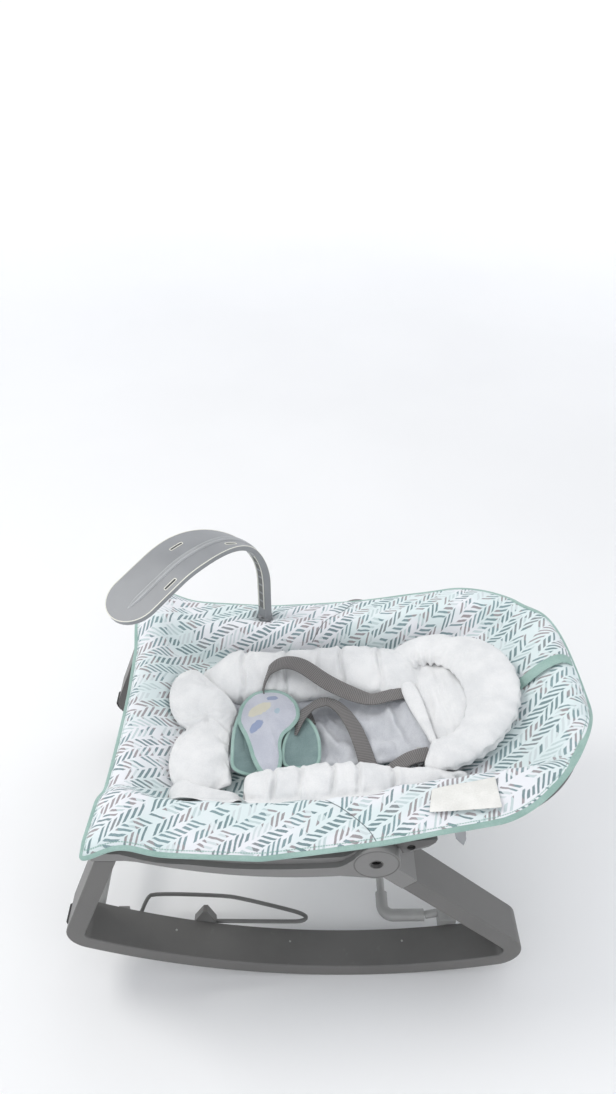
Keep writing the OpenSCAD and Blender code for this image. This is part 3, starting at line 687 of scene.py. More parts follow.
for n in both("rocker_hoop", "side_arm"):
    bevelled(n, "frame_plastic", 4.2, round_face=240, segments=4)
for n in both("hoop_cover", "seat_saddles") + ["toy_bar_socket"] + both("kickstand_lug", "kickstand_clip"):
    bevelled(n, "frame_plastic", 0.6)
for n in both("recline_bracket"):
    bevelled(n, "bracket_plastic")
for n in ["toy_bar"] + both("cover_hook"):
    bevelled(n, "toy_plastic", 1.0)
for n in both("rear_link"):
    bevelled(n, "grey_tube", 0.6)
for n in both("front_stop"):
    bevelled(n, "rubber")
bevelled("buckle", "buckle_plastic")

kept = {
    "screw_steel": both("hub_pin") + ["cover_screws", "saddle_bolts"],
    "dark_screw": ["hub_screws", "bracket_screws"],
    "grey_tube": ["front_cross_tube", "rear_cross_tube"] + both("rear_elbow"),
    "wire": both("kickstand"),
    "dark_tube": ["seat_frame_tube", "back_frame_tube"],
}
for slot, names in kept.items():
    for n in names:
        o = nodes[n]
        o.data.materials.clear()
        o.data.materials.append(M[slot])
        set_rest(o)
        shade_smooth(o.data)
        o.data.set_sharp_from_angle(angle=math.radians(35))


# ---- fabric cover
def droop(x):
    return 2.8 * (1 - ease((x - 60) / 90))


def flare(x):
    return 6.5 * (1 - ease((x - FOOT_X) / 75))


def hook(x, y):
    return 7.5 * (1 - ease((x - FOOT_X) / 70)) * ease((np.abs(y) - 225) / 16)


def cover_mid(x):
    return cover_z(np.minimum(x, HEAD_RIM_X)) + THICK / 2


def outline_of_cover(step=4.0):
    """Closed line round the cover from the head end, down the left side, across the foot and back."""
    xs = HEAD_START + (HEAD_RIM_X - HEAD_START) * np.sin(np.pi / 2 * (1 - np.linspace(0, 1, 90)))
    xs = np.r_[xs, np.linspace(HEAD_START, FOOT_X, 110)[1:]]

    def width_at(x):
        return float(cover_w(x) + flare(x))

    left = [(HEAD_RIM_X, 0, 0)] + [(x, -width_at(x), 0) for x in xs[1:]]
    foot = [(FOOT_X + 14 * (1 - k * k), k * width_at(FOOT_X), 0) for k in np.linspace(-1, 1, 90)[1:]]
    right = [(x, -y, 0) for x, y, _ in left[-2:0:-1]]
    line = resample(np.array(left + foot + right), step, True)
    for _ in range(2):
        line = 0.5 * line + 0.25 * (np.roll(line, 1, 0) + np.roll(line, -1, 0))
    x, y = line[:, 0], line[:, 1]
    line[:, 2] = cover_mid(x) - droop(x) - (hook(x, y) + wide_pocket(x, y))
    return line


rim = outline_of_cover()
rim_run = run_along(rim)


def rim_distance(x, y):
    """Distance in mm from each point to the cover's edge, and how far along the edge that is."""
    q = np.stack([np.ravel(x), np.ravel(y)], 1)
    best, run = np.full(len(q), 1e9), np.zeros(len(q))
    for k in range(len(rim)):
        a, b = rim[k, :2], rim[(k + 1) % len(rim), :2]
        e = b - a
        t = np.clip(((q - a) @ e) / (e @ e), 0, 1)
        d = np.linalg.norm(q - a - t[:, None] * e, axis=1)
        hit = d < best
        best[hit], run[hit] = d[hit], rim_run[k] + t[hit] * np.linalg.norm(e)
    return best.reshape(np.shape(x)), run.reshape(np.shape(x))


TOY_X, TOY_Y = HUB_X - 155, 205.0


def cover_grid(rows, cols):
    """Plan of the cover's mesh, in rows from foot to head."""
    s = np.linspace(0, 1, rows)
    bend = HEAD_START + 20
    x = np.where(s < 0.76, FOOT_X + (bend - FOOT_X) * s / 0.76,
                 bend + (HEAD_RIM_X - bend) * np.sin(np.pi / 2 * (s - 0.76) / 0.24))
    t = np.linspace(-1, 1, cols)
    X, T = np.meshgrid(x, 0.72 * t + 0.28 * np.sin(np.pi / 2 * t), indexing="ij")
    X = X + 14 * (1 - T * T) * (1 - np.clip((X - FOOT_X) / (FOLD_FRONT - FOOT_X), 0, 1))
    return X, T * (cover_w(np.minimum(X, HEAD_RIM_X)) + flare(X))


def side_seams(X, Y):
    """Distance from the slanted seam on each side, and how deep it pulls the cloth in."""
    seam, dip = np.full_like(X, 60.0), np.zeros_like(X)
    start, end = np.array([2.0, 176.0]), np.array([59.0, 234.0])
    e = (end - start) / np.linalg.norm(end - start)
    for side in (-1, 1):
        y = Y * side
        dx, dy = X - start[0], y - start[1]
        off = dx * e[1] - dy * e[0] - 5 * np.sin(np.pi * np.clip((dx * e[0] + dy * e[1]) / 81, 0, 1))
        on = y > 150
        seam = np.where(on, off, seam)
        pull = 3.0 * bell(off / 3.2) - 1.2 * bell((np.abs(off) - 11) / 8)
        dip += np.where(on, pull * ease((y - 150) / 25), 0)
    return seam, dip


def build_cover():
    rows, cols = 150, 104
    X, Y = cover_grid(rows, cols)
    d, run = rim_distance(X, Y)
    d[0, :] = d[-1, :] = d[:, 0] = d[:, -1] = 0
    half = 6.6 * np.sqrt(np.clip(1 - (1 - np.clip(d / 15, 0, 1)) ** 2, 0, 1))
    depth = wide_pocket(X, Y)
    crown = 3.4 * ease(d / 34) * (1 - np.clip(depth / 30, 0, 1))
    swell = fractal(X, Y, 0 * X, 75) * 1.5
    ripple = fractal(X, Y + 400, 0 * X, 26) * 0.7
    puckers = 0.9 * np.exp(-np.maximum(d - 6, 0) / 16)
    puckers *= np.sin(2 * np.pi * run / 21 + 2.5 * fractal(run, 0 * run, 0 * run, 60))
    puckers *= 0.35 + 0.9 * ease((X - 120) / 120)
    seam, seam_dip = side_seams(X, Y)
    # the fabric is gathered round the foot of the toy bar
    dx, dy = X - TOY_X, Y - TOY_Y
    r = np.hypot(dx, dy)
    dimple = 8.0 * (1 - ease((r - 12) / 10))
    gather = 1.3 * np.sin(7 * np.arctan2(dy, dx)) * bell((r - 22) / 14) - 1.6 * bell(dy / 2.6) * bell(dx / 34)
    ridge = 5.5 * bell((np.abs(Y) - 176) / 15) * ease((X + 290) / 60) * (1 - ease((X - 190) / 70))
    ridge *= 0.75 + 0.5 * fractal(X, 0 * X, 0 * X, 70)
    mid = cover_mid(X) - droop(X) * (1 - ease(d / 16)) - hook(X, Y) * (1 - ease(d / 9))
    soft = ease(d / 12)
    # slow sag folds on the walls of the pocket
    wall = bell((np.abs(Y) - 150) / 22) * (X < 250)
    folds = wall * 1.6 * np.sin(2 * np.pi * X / 58 + 3 * fractal(X, Y * 0.4, 0 * X, 90))
    top = mid + half - depth + soft * (crown + ridge + swell + ripple + folds + gather)
    top = top + puckers * soft - seam_dip * soft - dimple
    low = np.minimum(mid - half - pocket(X, Y) + soft * 0.5 * swell, top - 2.5 * soft)

    def at(values):
        """Values for the top's points, then for the underside's inner points."""
        return np.r_[values.ravel(), values[1:-1, 1:-1].ravel()]

    pts = np.stack([at(X), at(Y), np.r_[top.ravel(), low[1:-1, 1:-1].ravel()]], 1)
    index = np.arange(rows * cols).reshape(rows, cols)
    index[1:-1, 1:-1] = rows * cols + np.arange((rows - 2) * (cols - 2)).reshape(rows - 2, cols - 2)
    faces = grid_faces(rows, cols)
    under = [(index[i, j], index[i + 1, j], index[i + 1, j + 1], index[i, j + 1])
             for i in range(rows - 1) for j in range(cols - 1)]
    ob = made("cover", pts, faces + under, [M["cover_fabric"], LINING],
              attrs={"edge": at(d), "run": at(run), "seam": at(seam)})
    for p in ob.data.polygons[len(faces):]:
        p.material_index = 1
    # lay the print on the cloth's own length across the pocket, not on its plan
    across = np.cumsum(np.hypot(np.diff(Y, axis=1), np.diff(mid - depth, axis=1)), axis=1)
    across = np.hstack([np.zeros((rows, 1)), across])
    across -= across[:, cols // 2 - 1:cols // 2 + 1].mean(1)[:, None]
    set_rest(ob, np.stack([at(X), at(across), np.full(len(pts), 300.0)], 1))
    subdivide(ob)
    across_joint(ob)
    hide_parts("seat_pad", "back_pad")


build_cover()

# binding: a folded tape sewn round the edge, a little uneven
wide = 1 + 0.35 * ease((rim[:, 0] - 150) / 120) + 0.08 * np.sin(rim_run / 23.0)
tape = [(3.2, 0.0), (2.9, 1.2), (1.8, 2.1), (-0.2, 2.7), (-3.0, 3.3), (-3.6, 2.6), (-3.0, 0)]
tape += [(a, -b) for a, b in tape[5:0:-1]]
outward = np.sum(frames_along(rim, (0, 0, 1), True)[0][:, :2] * (rim[:, :2] - np.array([30.0, 0])), axis=1)
out_sign = np.sign(np.mean(outward))
binding = sweep("cover_binding", rim, [(a * out_sign, b) for a, b in tape], (0, 0, 1), M["mint_fabric"],
                "mint_fabric", closed=True,
                scale=np.stack([wide, 1 + 0.05 * np.sin(rim_run / 11.0)], 1), subdiv=1)
across_joint(binding)


# ---- newborn insert
def wing(side, x0, x1, name, tucks, centre, half_w, half_h, slope, rise, node_names):
    """Stuffed side wing of the insert: a fat roll leaning on the wall of the pocket."""
    n, m = 100, 36
    u = np.linspace(0, 1, n)
    xs = x0 + (x1 - x0) * u
    end = blunt(2 * u - 1, 9, 0.05)
    if side < 0:
        low_end = 0 * xs
        taper = 1 - (0.28 * ease((xs - 20) / 100) + 0.5 * ease((xs - 120) / 64))
        inward, sink = 0 * xs, 15 * ease((xs - 15) / 100)
    else:
        low_end = ease((x0 + 60 - xs) / 60)
        taper = 1 - 0.42 * ease((xs - 95) / 70)
        inward, sink = 11 * ease((xs - 40) / 90), 9 * ease((xs + 10) / 130)
    taper = taper - 0.08 * ease((x0 + 40 - xs) / 40) - 0.35 * low_end
    A, B = half_w * taper * (0.55 + 0.45 * end), half_h * taper * end
    yc = centre - 12 * (1 - taper) - inward
    zc = cover_z(xs) + rise - 12 * low_end - sink
    c, s = math.cos(math.radians(slope)), math.sin(math.radians(slope))

    def section(across, high):
        """Points at these shares of the section's half width and half height."""
        ey, ez = across * A[:, None], high * B[:, None]
        return np.stack([xs[:, None] + 0 * ey, side * (yc[:, None] + ey * c - ez * s),
                         zc[:, None] + ey * s + ez * c], 2)

    pts = section(*np.array(oval(1, 1, m, 2.35)).T)
    ob = made(name, pts.reshape(-1, 3), tube_faces(n, m), M["insert_fabric"])
    co = mm(ob)
    outer_seam = bell((co[:, 2] - np.interp(co[:, 0], xs, zc) - 4) / 3.0)
    on_out = np.abs(co[:, 1]) > np.interp(co[:, 0], xs, yc) + half_w * 0.6
    pins = np.where(on_out, outer_seam, 0)
    for tx in tucks:
        pins = np.maximum(pins, 0.9 * bell((co[:, 0] - tx) / 2.6))
    puff(ob, pins, cap=4.5)
    co = mm(ob)
    co[:, 2] += 2.6 * crumple(co, 40) + 1.1 * crumple(co, 15, (1.5, 0.6, 1))
    co[:, 1] += 1.8 * crumple(co[:, [0, 2, 1]], 34)
    for tx in tucks:
        pucker = bell((co[:, 0] - tx) / 11) * np.sign(co[:, 0] - tx)
        co[:, 2] += 1.1 * pucker * np.sin(co[:, 1] / 3.4 + tx)
    set_mm(ob, co)
    groove(ob, np.stack([xs, side * (yc + (half_w - 1.5) * taper), zc + 2], 1)[3:-3], 4.2, 3.2)
    if side < 0:
        groove(ob, section(0.60, 0.84)[3:-4, 0], 5.5, 3.0)
    for tx in tucks:
        near = pts[int(np.argmin(np.abs(xs - tx))), :m // 2]
        ring = np.c_[tx + 2.5 * np.sin(4 * np.linspace(0, 3, m // 2)), near[:, 1:]]
        groove(ob, ring, 7.0, 2.8)
    lay_on_cover(ob)
    set_rest(ob)
    subdivide(ob)
    across_joint(ob)
    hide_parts(*node_names)


wing(-1, -116, 186, "insert_wing_left", [-75, -40, 5, 38, 88], 137, 34, 21, -9, -1,
     ["bolster_left_seat", "bolster_left_back"])
wing(1, -192, 150, "insert_wing_right", [-128, -63, 24, 84], 84, 46, 16, 15, -8,
     ["bolster_right_seat", "bolster_right_back"])

# routes of the two harness straps, with some slack above the panel
WEBBING_W = 25
FAR_STRAP = [(-97, 34, 281), (-98, 55, 298), (-90, 74, 311), (-76, 81, 322), (-58, 79, 330), (-35, 68, 332),
             (0, 43, 325), (35, 28, 316), (66, 20, 311), (92, 26, 311), (108, 30, 312), (124, 34, 312)]
NEAR_STRAP = [(-52, -26, 287), (-39, -5, 299), (-22, 10, 306), (0, 17, 309), (21, 3, 308), (38, -28, 306),
              (48, -60, 304), (55, -90, 301), (62, -108, 298), (80, -110, 301), (100, -98, 309),
              (119, -90, 313), (142, -86, 315)]


def away_from_straps(X, Y):
    """0 under the straps, 1 well clear of them."""
    calm = np.ones_like(X)
    for path in (FAR_STRAP, NEAR_STRAP):
        for a, b in zip(path, path[1:]):
            for f in (0, 0.5):
                r = np.hypot(X - a[0] - f * (b[0] - a[0]), Y - a[1] - f * (b[1] - a[1]))
                calm = np.minimum(calm, 1 - bell(r / 13))
    return calm


def build_panel():
    """Thin gathered panel that the child lies on."""
    ni, nj, foot, head, half_w = 96, 52, -168, 152, 86
    X, Y = np.meshgrid(np.linspace(foot, head, ni), np.linspace(-half_w, half_w, nj), indexing="ij")
    edge = np.minimum(np.minimum(X - foot, head - X), half_w - np.abs(Y))
    half = 4.2 * np.sqrt(np.clip(1 - (1 - np.clip(edge / 9, 0, 1)) ** 2, 0, 1))
    warp = fractal(X * 0.8, Y * 0.35, 0 * X, 46)
    pull = 6.2 * np.sin((X * 0.9 + Y * 0.3) / 5.4 + 5.0 * warp) * ease((X - 20) / 60)
    pull *= 0.45 + 0.55 * np.cos(Y / 40)
    long_fold = 4.6 * np.sin((Y + 0.45 * X) / 8.5 + 4.6 * warp) * (1 - ease((X - 60) / 60))
    lift = (pull + long_fold) * ease(edge / 16) * away_from_straps(X, Y) + 2.0 * ease((np.abs(Y) - 34) / 40)
    base = cover_top(X, Y) + 5.6
    low = np.maximum(base - half, cover_top(X, Y) + 1.0)
    pts = np.vstack([np.stack([X, Y, z], 2).reshape(-1, 3) for z in (base + half + lift, low)])
    k = ni * nj
    faces = grid_faces(ni, nj) + [tuple(reversed(f)) for f in grid_faces(ni, nj, start=k)]
    grid = np.arange(k).reshape(ni, nj)
    idx = [*grid[:, 0], *grid[-1, 1:], *grid[-2::-1, -1], *grid[0, -2:0:-1]]
    faces += [(a, b, b + k, a + k) for a, b in zip(idx, idx[1:] + idx[:1])]
    ob = made("insert_panel", pts, faces, PANEL)
    subdivide(ob)
    across_joint(ob)
    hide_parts("insert_seat", "insert_back")


build_panel()


def puffed_shape(name, outline, centre, thickness, underside, rings, edge_power):
    """Closed stuffed shape in a star-shaped outline (x, y in mm). underside(x, y) is its lowest height."""
    out, c = np.array(outline, float), np.array(centre, float)
    m = len(out)
    rho = np.sin(np.linspace(0, np.pi / 2, rings + 1))[1:]
    Q = np.vstack([[c]] + [c + (out - c) * r for r in rho])
    R = np.r_[0, np.repeat(rho, m)]
    h = thickness * np.power(np.clip(1 - R ** 2, 0, 1), edge_power)
    z0 = underside(Q[:, 0], Q[:, 1])
    top = z0 + thickness * 0.5 + h * 0.62
    bot = np.maximum(z0, z0 + thickness * 0.5 - h * 0.5)
    n = len(Q)
    pts = np.vstack([np.c_[Q, top], np.c_[Q[:n - m], bot[:n - m]]])
    faces = []
    for j in range(m):
        faces.append((0, 1 + j, 1 + (j + 1) % m))
        faces.append((n, n + 1 + (j + 1) % m, n + 1 + j))
    for r in range(rings - 1):
        a, b = 1 + r * m, 1 + (r + 1) * m
        la, lb = n + a, (n + b) if r < rings - 2 else b
        for j in range(m):
            j2 = (j + 1) % m
            faces.append((a + j, b + j, b + j2, a + j2))
            faces.append((la + j, la + j2, lb + j2, lb + j))
    return made(name, pts, faces, M["insert_fabric"])


def flap_floor(x, y):
    over = 15 * ease((x + 238) / 40) * ease((y - 10) / 40) + 4 * ease((x + 160) / 20)
    return cover_top(x, y) + 1.5 + over


def build_flap():
    """Heart-shaped foot flap with two rounded lobes."""
    points = [(-136, -110), (-140, -78), (-143, -47), (-141, -14), (-134, 16), (-152, 44), (-176, 68), (-196, 88),
              (-212, 95), (-226, 88), (-236, 68), (-239, 40), (-234, 12), (-222, -6), (-209, -14), (-211, -22),
              (-221, -40), (-226, -72), (-223, -100), (-211, -120), (-190, -126), (-162, -122), (-144, -116)]
    line = smooth_outline(points, 5.0)
    flap = puffed_shape("insert_flap", line, (-180, 2), 15, flap_floor, 20, 0.42)
    co = mm(flap)
    pins = bell(np.min(np.linalg.norm(co[:, None, :2] - line[None], axis=2), axis=1) / 2.5)
    under = co[:, 2] < flap_floor(co[:, 0], co[:, 1]) + 3
    puff(flap, np.maximum(pins, under * 0.9), cap=4.5, shrink=-0.06)
    co = mm(flap)
    dx, dy = co[:, 0], co[:, 1] + 17
    fan = 0.9 * np.sin(np.arctan2(dy, dx + 207) * 9) * np.exp(-np.hypot(dx + 204, dy) / 30)
    lift = 2.4 * crumple(co, 50, (1, 1, 0)) + fan
    co[:, 2] += ease((co[:, 2] - flap_floor(co[:, 0], co[:, 1])) / 8) * lift
    set_mm(flap, co)
    set_rest(flap)
    subdivide(flap)
    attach(flap, "base")


build_flap()


def build_foot_roll():
    """Soft roll with rounded ends, between the left lobe and the wall of the pocket."""
    route = [(-214, -122, -122, 15), (-192, -137, -130, 17), (-158, -146, -130, 17), (-121, -148, -130, 16)]
    line = smooth_line([(x, y, float(cover_top(x, at) + h)) for x, y, at, h in route], 3.5)
    end = blunt(2 * np.linspace(0, 1, len(line)) - 1, 6, 0.08)
    ob = sweep("insert_foot_roll_left", line, oval(19, 13, 22, 2.2), (0, 0, 1), M["insert_fabric"],
               "insert_fabric", scale=np.stack([end, end], 1))
    puff(ob, bell((mm(ob)[:, 0] + 178) / 2.5), cap=3.0)
    co = mm(ob)
    set_mm(ob, co + 0.8 * crumple(co, 26)[:, None] * np.array([[0.2, 0.4, 1]]))
    lay_on_cover(ob)
    set_rest(ob)
    subdivide(ob)
    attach(ob, "base")


build_foot_roll()

# head pillow: a broad stuffed horseshoe round a sunk middle
PILLOW_AT = (156.0, 5.0, float(cover_top(162.2, 0)) + 19)
PILLOW_TURN, PILLOW_TILT = math.radians(6), math.radians(18)


def pillow_point(p, q, h):
    """p toward the head, q toward the right, h above the pillow's plane."""
    c, s = math.cos(PILLOW_TURN), math.sin(PILLOW_TURN)
    ct, st = math.cos(PILLOW_TILT), math.sin(PILLOW_TILT)
    x, y = p * c - q * s, p * s + q * c
    return np.stack([PILLOW_AT[0] + x * ct - h * st, PILLOW_AT[1] + y, PILLOW_AT[2] + x * st + h * ct], -1)


def pillow_ring():
    n, m = 92, 30
    s = np.linspace(0, 1, n)
    ang = np.radians(-110 + 238 * s)
    # inner and outer edge of the horseshoe
    inner = np.stack([46 * np.cos(ang), 72 * np.sin(ang)])
    outer = 123 + 1 * np.cos(ang) - 8 * ease((s - 0.86) / 0.14) + 3 * ease((0.3 - s) / 0.3)
    outer = np.stack([outer * np.cos(ang), outer * np.sin(ang)])
    leg = np.clip(np.abs(s - 0.5) * 2, 0, 1)
    end = blunt(leg, 12, 0.06)
    sec = np.array(oval(1, 1, m, 2.25))
    a = sec[:, 0] * (0.6 + 0.4 * end[:, None])
    b = sec[:, 1] * 17 * (end * (1 - 0.12 * leg))[:, None]
    (mid_p, mid_q), (dp, dq) = (inner + outer) / 2, (outer - inner) / 2
    pts = pillow_point(mid_p[:, None] + dp[:, None] * a, mid_q[:, None] + dq[:, None] * a, b)
    ob = made("head_pillow_ring", pts.reshape(-1, 3), tube_faces(n, m), M["insert_fabric"])
    idx, k = np.arange(n * m) % m, np.arange(n * m) // m
    puff(ob, np.where((idx == 0) | (idx == m // 2), 1.0, 0.0), cap=7, pressure=4, shrink=-0.07)
    co = mm(ob)
    around, across = s[k], sec[idx, 0]
    # gathers that fan out from the inner seam and from the outer edge
    fan_in = bell((across + 1) / 0.55) * np.sin(around * 2 * np.pi * 17 + 2 * crumple(co, 60))
    fan_out = bell((across - 1) / 0.5) * np.sin(around * 2 * np.pi * 26 + 2 * crumple(co[:, [1, 0, 2]], 50))
    fan_in *= 0.25 + ease((around - 0.6) / 0.25)
    fan_out *= 0.2 + ease((0.62 - around) / 0.3)
    lift = 3.4 * fan_in + 2.4 * fan_out + 1.2 * crumple(co, 48)
    set_mm(ob, co + read(ob, "normal") * lift[:, None])
    set_rest(ob)
    subdivide(ob)
    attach(ob, "back")
    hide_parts("head_pillow")


def pillow_middle():
    line = [(56 * math.cos(a), 84 * math.sin(a)) for a in np.radians(np.linspace(-95, 95, 34))]
    line += [(-18 - 10 * math.cos(a), 76 * math.sin(a)) for a in np.radians(np.linspace(72, -72, 14))]
    ob = puffed_shape("head_pillow_middle", line, (12, 0), 13, lambda x, y: 0 * x, 16, 0.45)
    q = mm(ob)
    q[:, 2] += 4.6 * crumple(q, 30, (2.2, 0.6, 0)) * ease(q[:, 2] / 6) - 16
    set_mm(ob, pillow_point(*q.T))
    set_rest(ob)
    subdivide(ob)
    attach(ob, "back")


def pillow_lip():
    f = np.linspace(0, 1, 15)
    line = smooth_line(pillow_point(-13 - 19 * f ** 0.8, -88 + 140 * f, 3 - 5 * (2 * f - 1) ** 2), 3.5)
    u = np.linspace(0, 1, len(line))
    e = blunt(2 * u - 1, 6, 0.08)
    up = (-math.sin(PILLOW_TILT), 0, math.cos(PILLOW_TILT))
    ob = sweep("head_pillow_lip", line, oval(12, 6, 20, 2.2), up, M["insert_fabric"], "insert_fabric",
               scale=np.stack([e * (0.42 + 0.6 * ease(u * 1.3)), e * (0.6 + 0.4 * u)], 1), subdiv=1)
    set_rest(ob)
    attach(ob, "back")


pillow_ring()
pillow_middle()
pillow_lip()


# ---- harness
def strap(name, line, normals, width, thick=1.7, slot="webbing"):
    """Flat webbing along a line, with its own face direction at each point."""
    key = run_along(line)
    pts = smooth_line(line, 3.0)
    run = run_along(pts)
    run = run / run[-1] * key[-1]
    ups = np.stack([np.interp(run, key, n) for n in np.array(normals, float).T], 1)
    h, t = width / 2, thick / 2
    under = [(-h, -t * 0.6), (-h + 0.5, -t), (-h * 0.5, -t), (0, -t), (h * 0.5, -t), (h - 0.5, -t),
             (h, -t * 0.6)]
    ob = sweep(name, pts, under + [(a, -b) for a, b in reversed(under)], ups, M[slot], slot)
    ob.data.set_sharp_from_angle(angle=math.radians(50))
    return ob


right = strap("harness_strap_right", FAR_STRAP, [
    (-0.9, -0.1, 0.3), (-0.9, 0.1, 0.4), (-0.7, 0.2, 0.7), (-0.3, 0, 0.95), (0, -0.1, 1), (0.1, -0.3, 0.95),
    (0.1, -0.35, 0.93), (0.1, -0.25, 0.95), (-0.1, 0.1, 1), (-0.2, 0.1, 1), (-0.2, 0, 1), (-0.2, 0, 1)],
    WEBBING_W)
across_joint(right)
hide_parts("waist_strap_right_front", "waist_strap_right_rear")
left = strap("harness_strap_left", NEAR_STRAP, [
    (-0.6, 0.1, 0.8), (-0.45, 0.3, 0.9), (-0.2, 0.5, 0.9), (0.3, 0.3, 1), (0.4, 0.1, 1), (0.3, 0, 1),
    (0.25, -0.1, 1), (0.1, -0.2, 1), (0, 0, 1), (-0.1, 0.2, 1), (-0.2, 0.2, 1), (-0.2, 0.1, 1),
    (-0.25, 0, 1)], WEBBING_W)
across_joint(left)
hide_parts("waist_strap_left_front", "waist_strap_left_rear")
for side, word in ((-1, "left"), (1, "right")):
    turns = np.linspace(0, 2 * math.pi, 40, endpoint=False)
    ring = [(127 + 4.2 * signed_power(math.cos(t), 0.5), side * 84 + 14 * signed_power(math.sin(t), 0.5))
            for t in turns]
    opening = sweep("strap_opening_" + word, [(x, y, float(cover_top(x, y)) + 10.5) for x, y in ring],
                    oval(1.7, 1.2, 10), (0, 0, 1), THREAD, "insert_fabric", closed=True)
    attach(opening, "back")
    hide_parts("strap_slot_" + word)
crotch = strap("crotch_webbing", [(-66, -6, 289), (-50, -4, 293), (-34, 0, 292), (-20, 4, 288)],
               [(0, 0, 1)] * 4, 26)
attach(crotch, "base")
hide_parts("crotch_strap")


def bound_sheet(name, outline, centre, height_of, mat, thick, bind_w, rings=10):
    """Fabric flap inside a star-shaped outline, with a bound edge."""
    out = smooth_outline(outline, 3.0)
    c = np.array(centre, float)
    m = len(out)
    rho = np.linspace(0, 1, rings + 1)[1:]
    Q = np.vstack([[c]] + [c + (out - c) * r for r in rho])
    z = height_of(Q[:, 0], Q[:, 1], np.r_[0, np.repeat(rho, m)])
    faces = [(0, 1 + j, 1 + (j + 1) % m) for j in range(m)]
    faces += [(1 + f[0], 1 + f[3], 1 + f[2], 1 + f[1]) for f in grid_faces(rings, m, False, True)]
    ob = made(name, np.c_[Q, z], faces, mat)
    face_up(ob)
    thicken(ob, thick)
    subdivide(ob)
    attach(ob, "base")
    edge = np.c_[out, height_of(out[:, 0], out[:, 1], np.ones(m)) - thick * 0.5]
    w, k = bind_w, bind_w * 0.7
    section = [(w, 0), (k, 1.6), (0, 2.0), (-k, 1.6), (-w, 0), (-k, -1.6), (0, -2.0), (k, -1.6)]
    tape = sweep(name + "_binding", edge, section, (0, 0, 1), M["mint_fabric"], "mint_fabric",
                 closed=True, subdiv=1)
    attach(tape, "base")
    return ob


def pouch_height(x, y, r):
    t = np.clip((y + 105) / 150, 0, 1)
    return 295 + 7 * ease(t) + 2 * np.sin(t * 5) + 8 * (1 - r ** 2) + 1.6 * fractal(x, y, 0 * x, 22)


def side_height(x, y, r):
    return 288 + 6 * r + 0.05 * (y + 60) + 2.5 * np.sin((x + 90) / 9) * r + 1.5 * fractal(x, y, 0 * x, 20)


# fabric pouch over the buckle, and its two side flaps
pouch = bound_sheet("pouch_front", [
    (-129, -6), (-124, 22), (-108, 41), (-86, 47), (-63, 41), (-48, 22), (-44, -1), (-52, -19), (-66, -35),
    (-71, -55), (-69, -80), (-73, -100), (-86, -107), (-101, -86), (-115, -44), (-125, -22)], (-88, -12), pouch_height,
    POUCH, thick=2.2, bind_w=4.4)
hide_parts("crotch_panel")
bound_sheet("pouch_side_foot", [
    (-128, 4), (-136, -25), (-137, -62), (-133, -92), (-112, -100), (-98, -92), (-102, -64), (-113, -36),
    (-119, -12)], (-120, -54), side_height, POUCH_DARK, thick=1.6, bind_w=2.8)
bound_sheet("pouch_side_head", [
    (-46, -2), (-28, -8), (-15, -34), (-12, -64), (-17, -88), (-42, -90), (-62, -84), (-64, -58),
    (-58, -30)], (-38, -50), side_height, POUCH_DARK, thick=1.6, bind_w=2.8)

# strap loop at the head end, and the blank sewn-in label
lifts = (3.5, 7, 10, 11, 10, 8.5, 7, 5.5, 4.5)
loop = [(x, 5 + 0.17 * (x - 278)) for x in np.linspace(278, 352, 9)]
loop = [(x, y, float(cover_top(x, y)) + h) for (x, y), h in zip(loop, lifts)]
head_loop = strap("head_loop", loop, [(-0.35, -0.15, 0.93)] * 9, 15, thick=2.0, slot="mint_fabric")
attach(head_loop, "back")
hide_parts("head_strap")


def build_label():
    ni, nj = 22, 12
    u, v = np.meshgrid(np.linspace(0, 1, ni), np.linspace(0, 1, nj), indexing="ij")
    X = (1 - v) * (123 + 89 * u) + v * (130 + 81 * u)
    Y = (1 - v) * (-205 - 7 * u) + v * (-173 + 7 * u)
    Z = cover_top(X, Y) + 3.2 + 4.2 * ease(cover_w(X) / 240) + 1.3 * np.sin(u * 5 + 0.6) * v + 2.4 * v * v
    ob = made("side_label", np.stack([X, Y, Z], 2).reshape(-1, 3), grid_faces(ni, nj), M["label"])
    face_up(ob)
    thicken(ob, 0.6)
    subdivide(ob)
    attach(ob, "back")
    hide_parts("blank_label")


build_label()

# ---- toy bar details
POST_RUN, ARCH_R, ARCH_Z, ARCH_END, PADDLE_RUN = 73.0, 140.0, 387.0, 110.0, 54.0
PADDLE_W, POST_W, STRIP_T = 84.0, 17.0, 8.0
TOY_SLOTS = [(157, 18.0), (228, -18.0), (279, 31.0)]
ARCH_RUN = ARCH_R * math.radians(ARCH_END)
STRIP_RUN = POST_RUN + ARCH_RUN + PADDLE_RUN
TOY_COS, TOY_SIN = math.cos(math.radians(225)), math.sin(math.radians(225))


def strip_at(s):
    """Place and slope (radians) of the strip's middle, s mm along it."""
    if s < POST_RUN:
        return 0.0, ARCH_Z - POST_RUN + s, math.pi / 2
    a = min((s - POST_RUN) / ARCH_R, math.radians(ARCH_END))
    d = max(0, s - POST_RUN - ARCH_RUN)
    x = ARCH_R - ARCH_R * math.cos(a) + d * math.sin(a)
    return x, ARCH_Z + ARCH_R * math.sin(a) + d * math.cos(a), math.pi / 2 - a


def strip_half_w(s):
    return POST_W / 2 + (PADDLE_W - POST_W) / 2 * float(ease((s - POST_RUN - 30) / (ARCH_RUN - 60)))


def strip_half_t(s):
    return STRIP_T / 2 + 3 * (1 - float(ease((s - POST_RUN) / 90)))


def on_toy(s, v, h):
    """Point on the toy bar: s along it, v across it, h out from its upper face."""
    x, z, a = strip_at(s)
    t = strip_half_t(s) + h
    px = x - math.sin(a) * t
    return np.array([TOY_X + px * TOY_COS - v * TOY_SIN, TOY_Y + px * TOY_SIN + v * TOY_COS,
                     z + math.cos(a) * t])


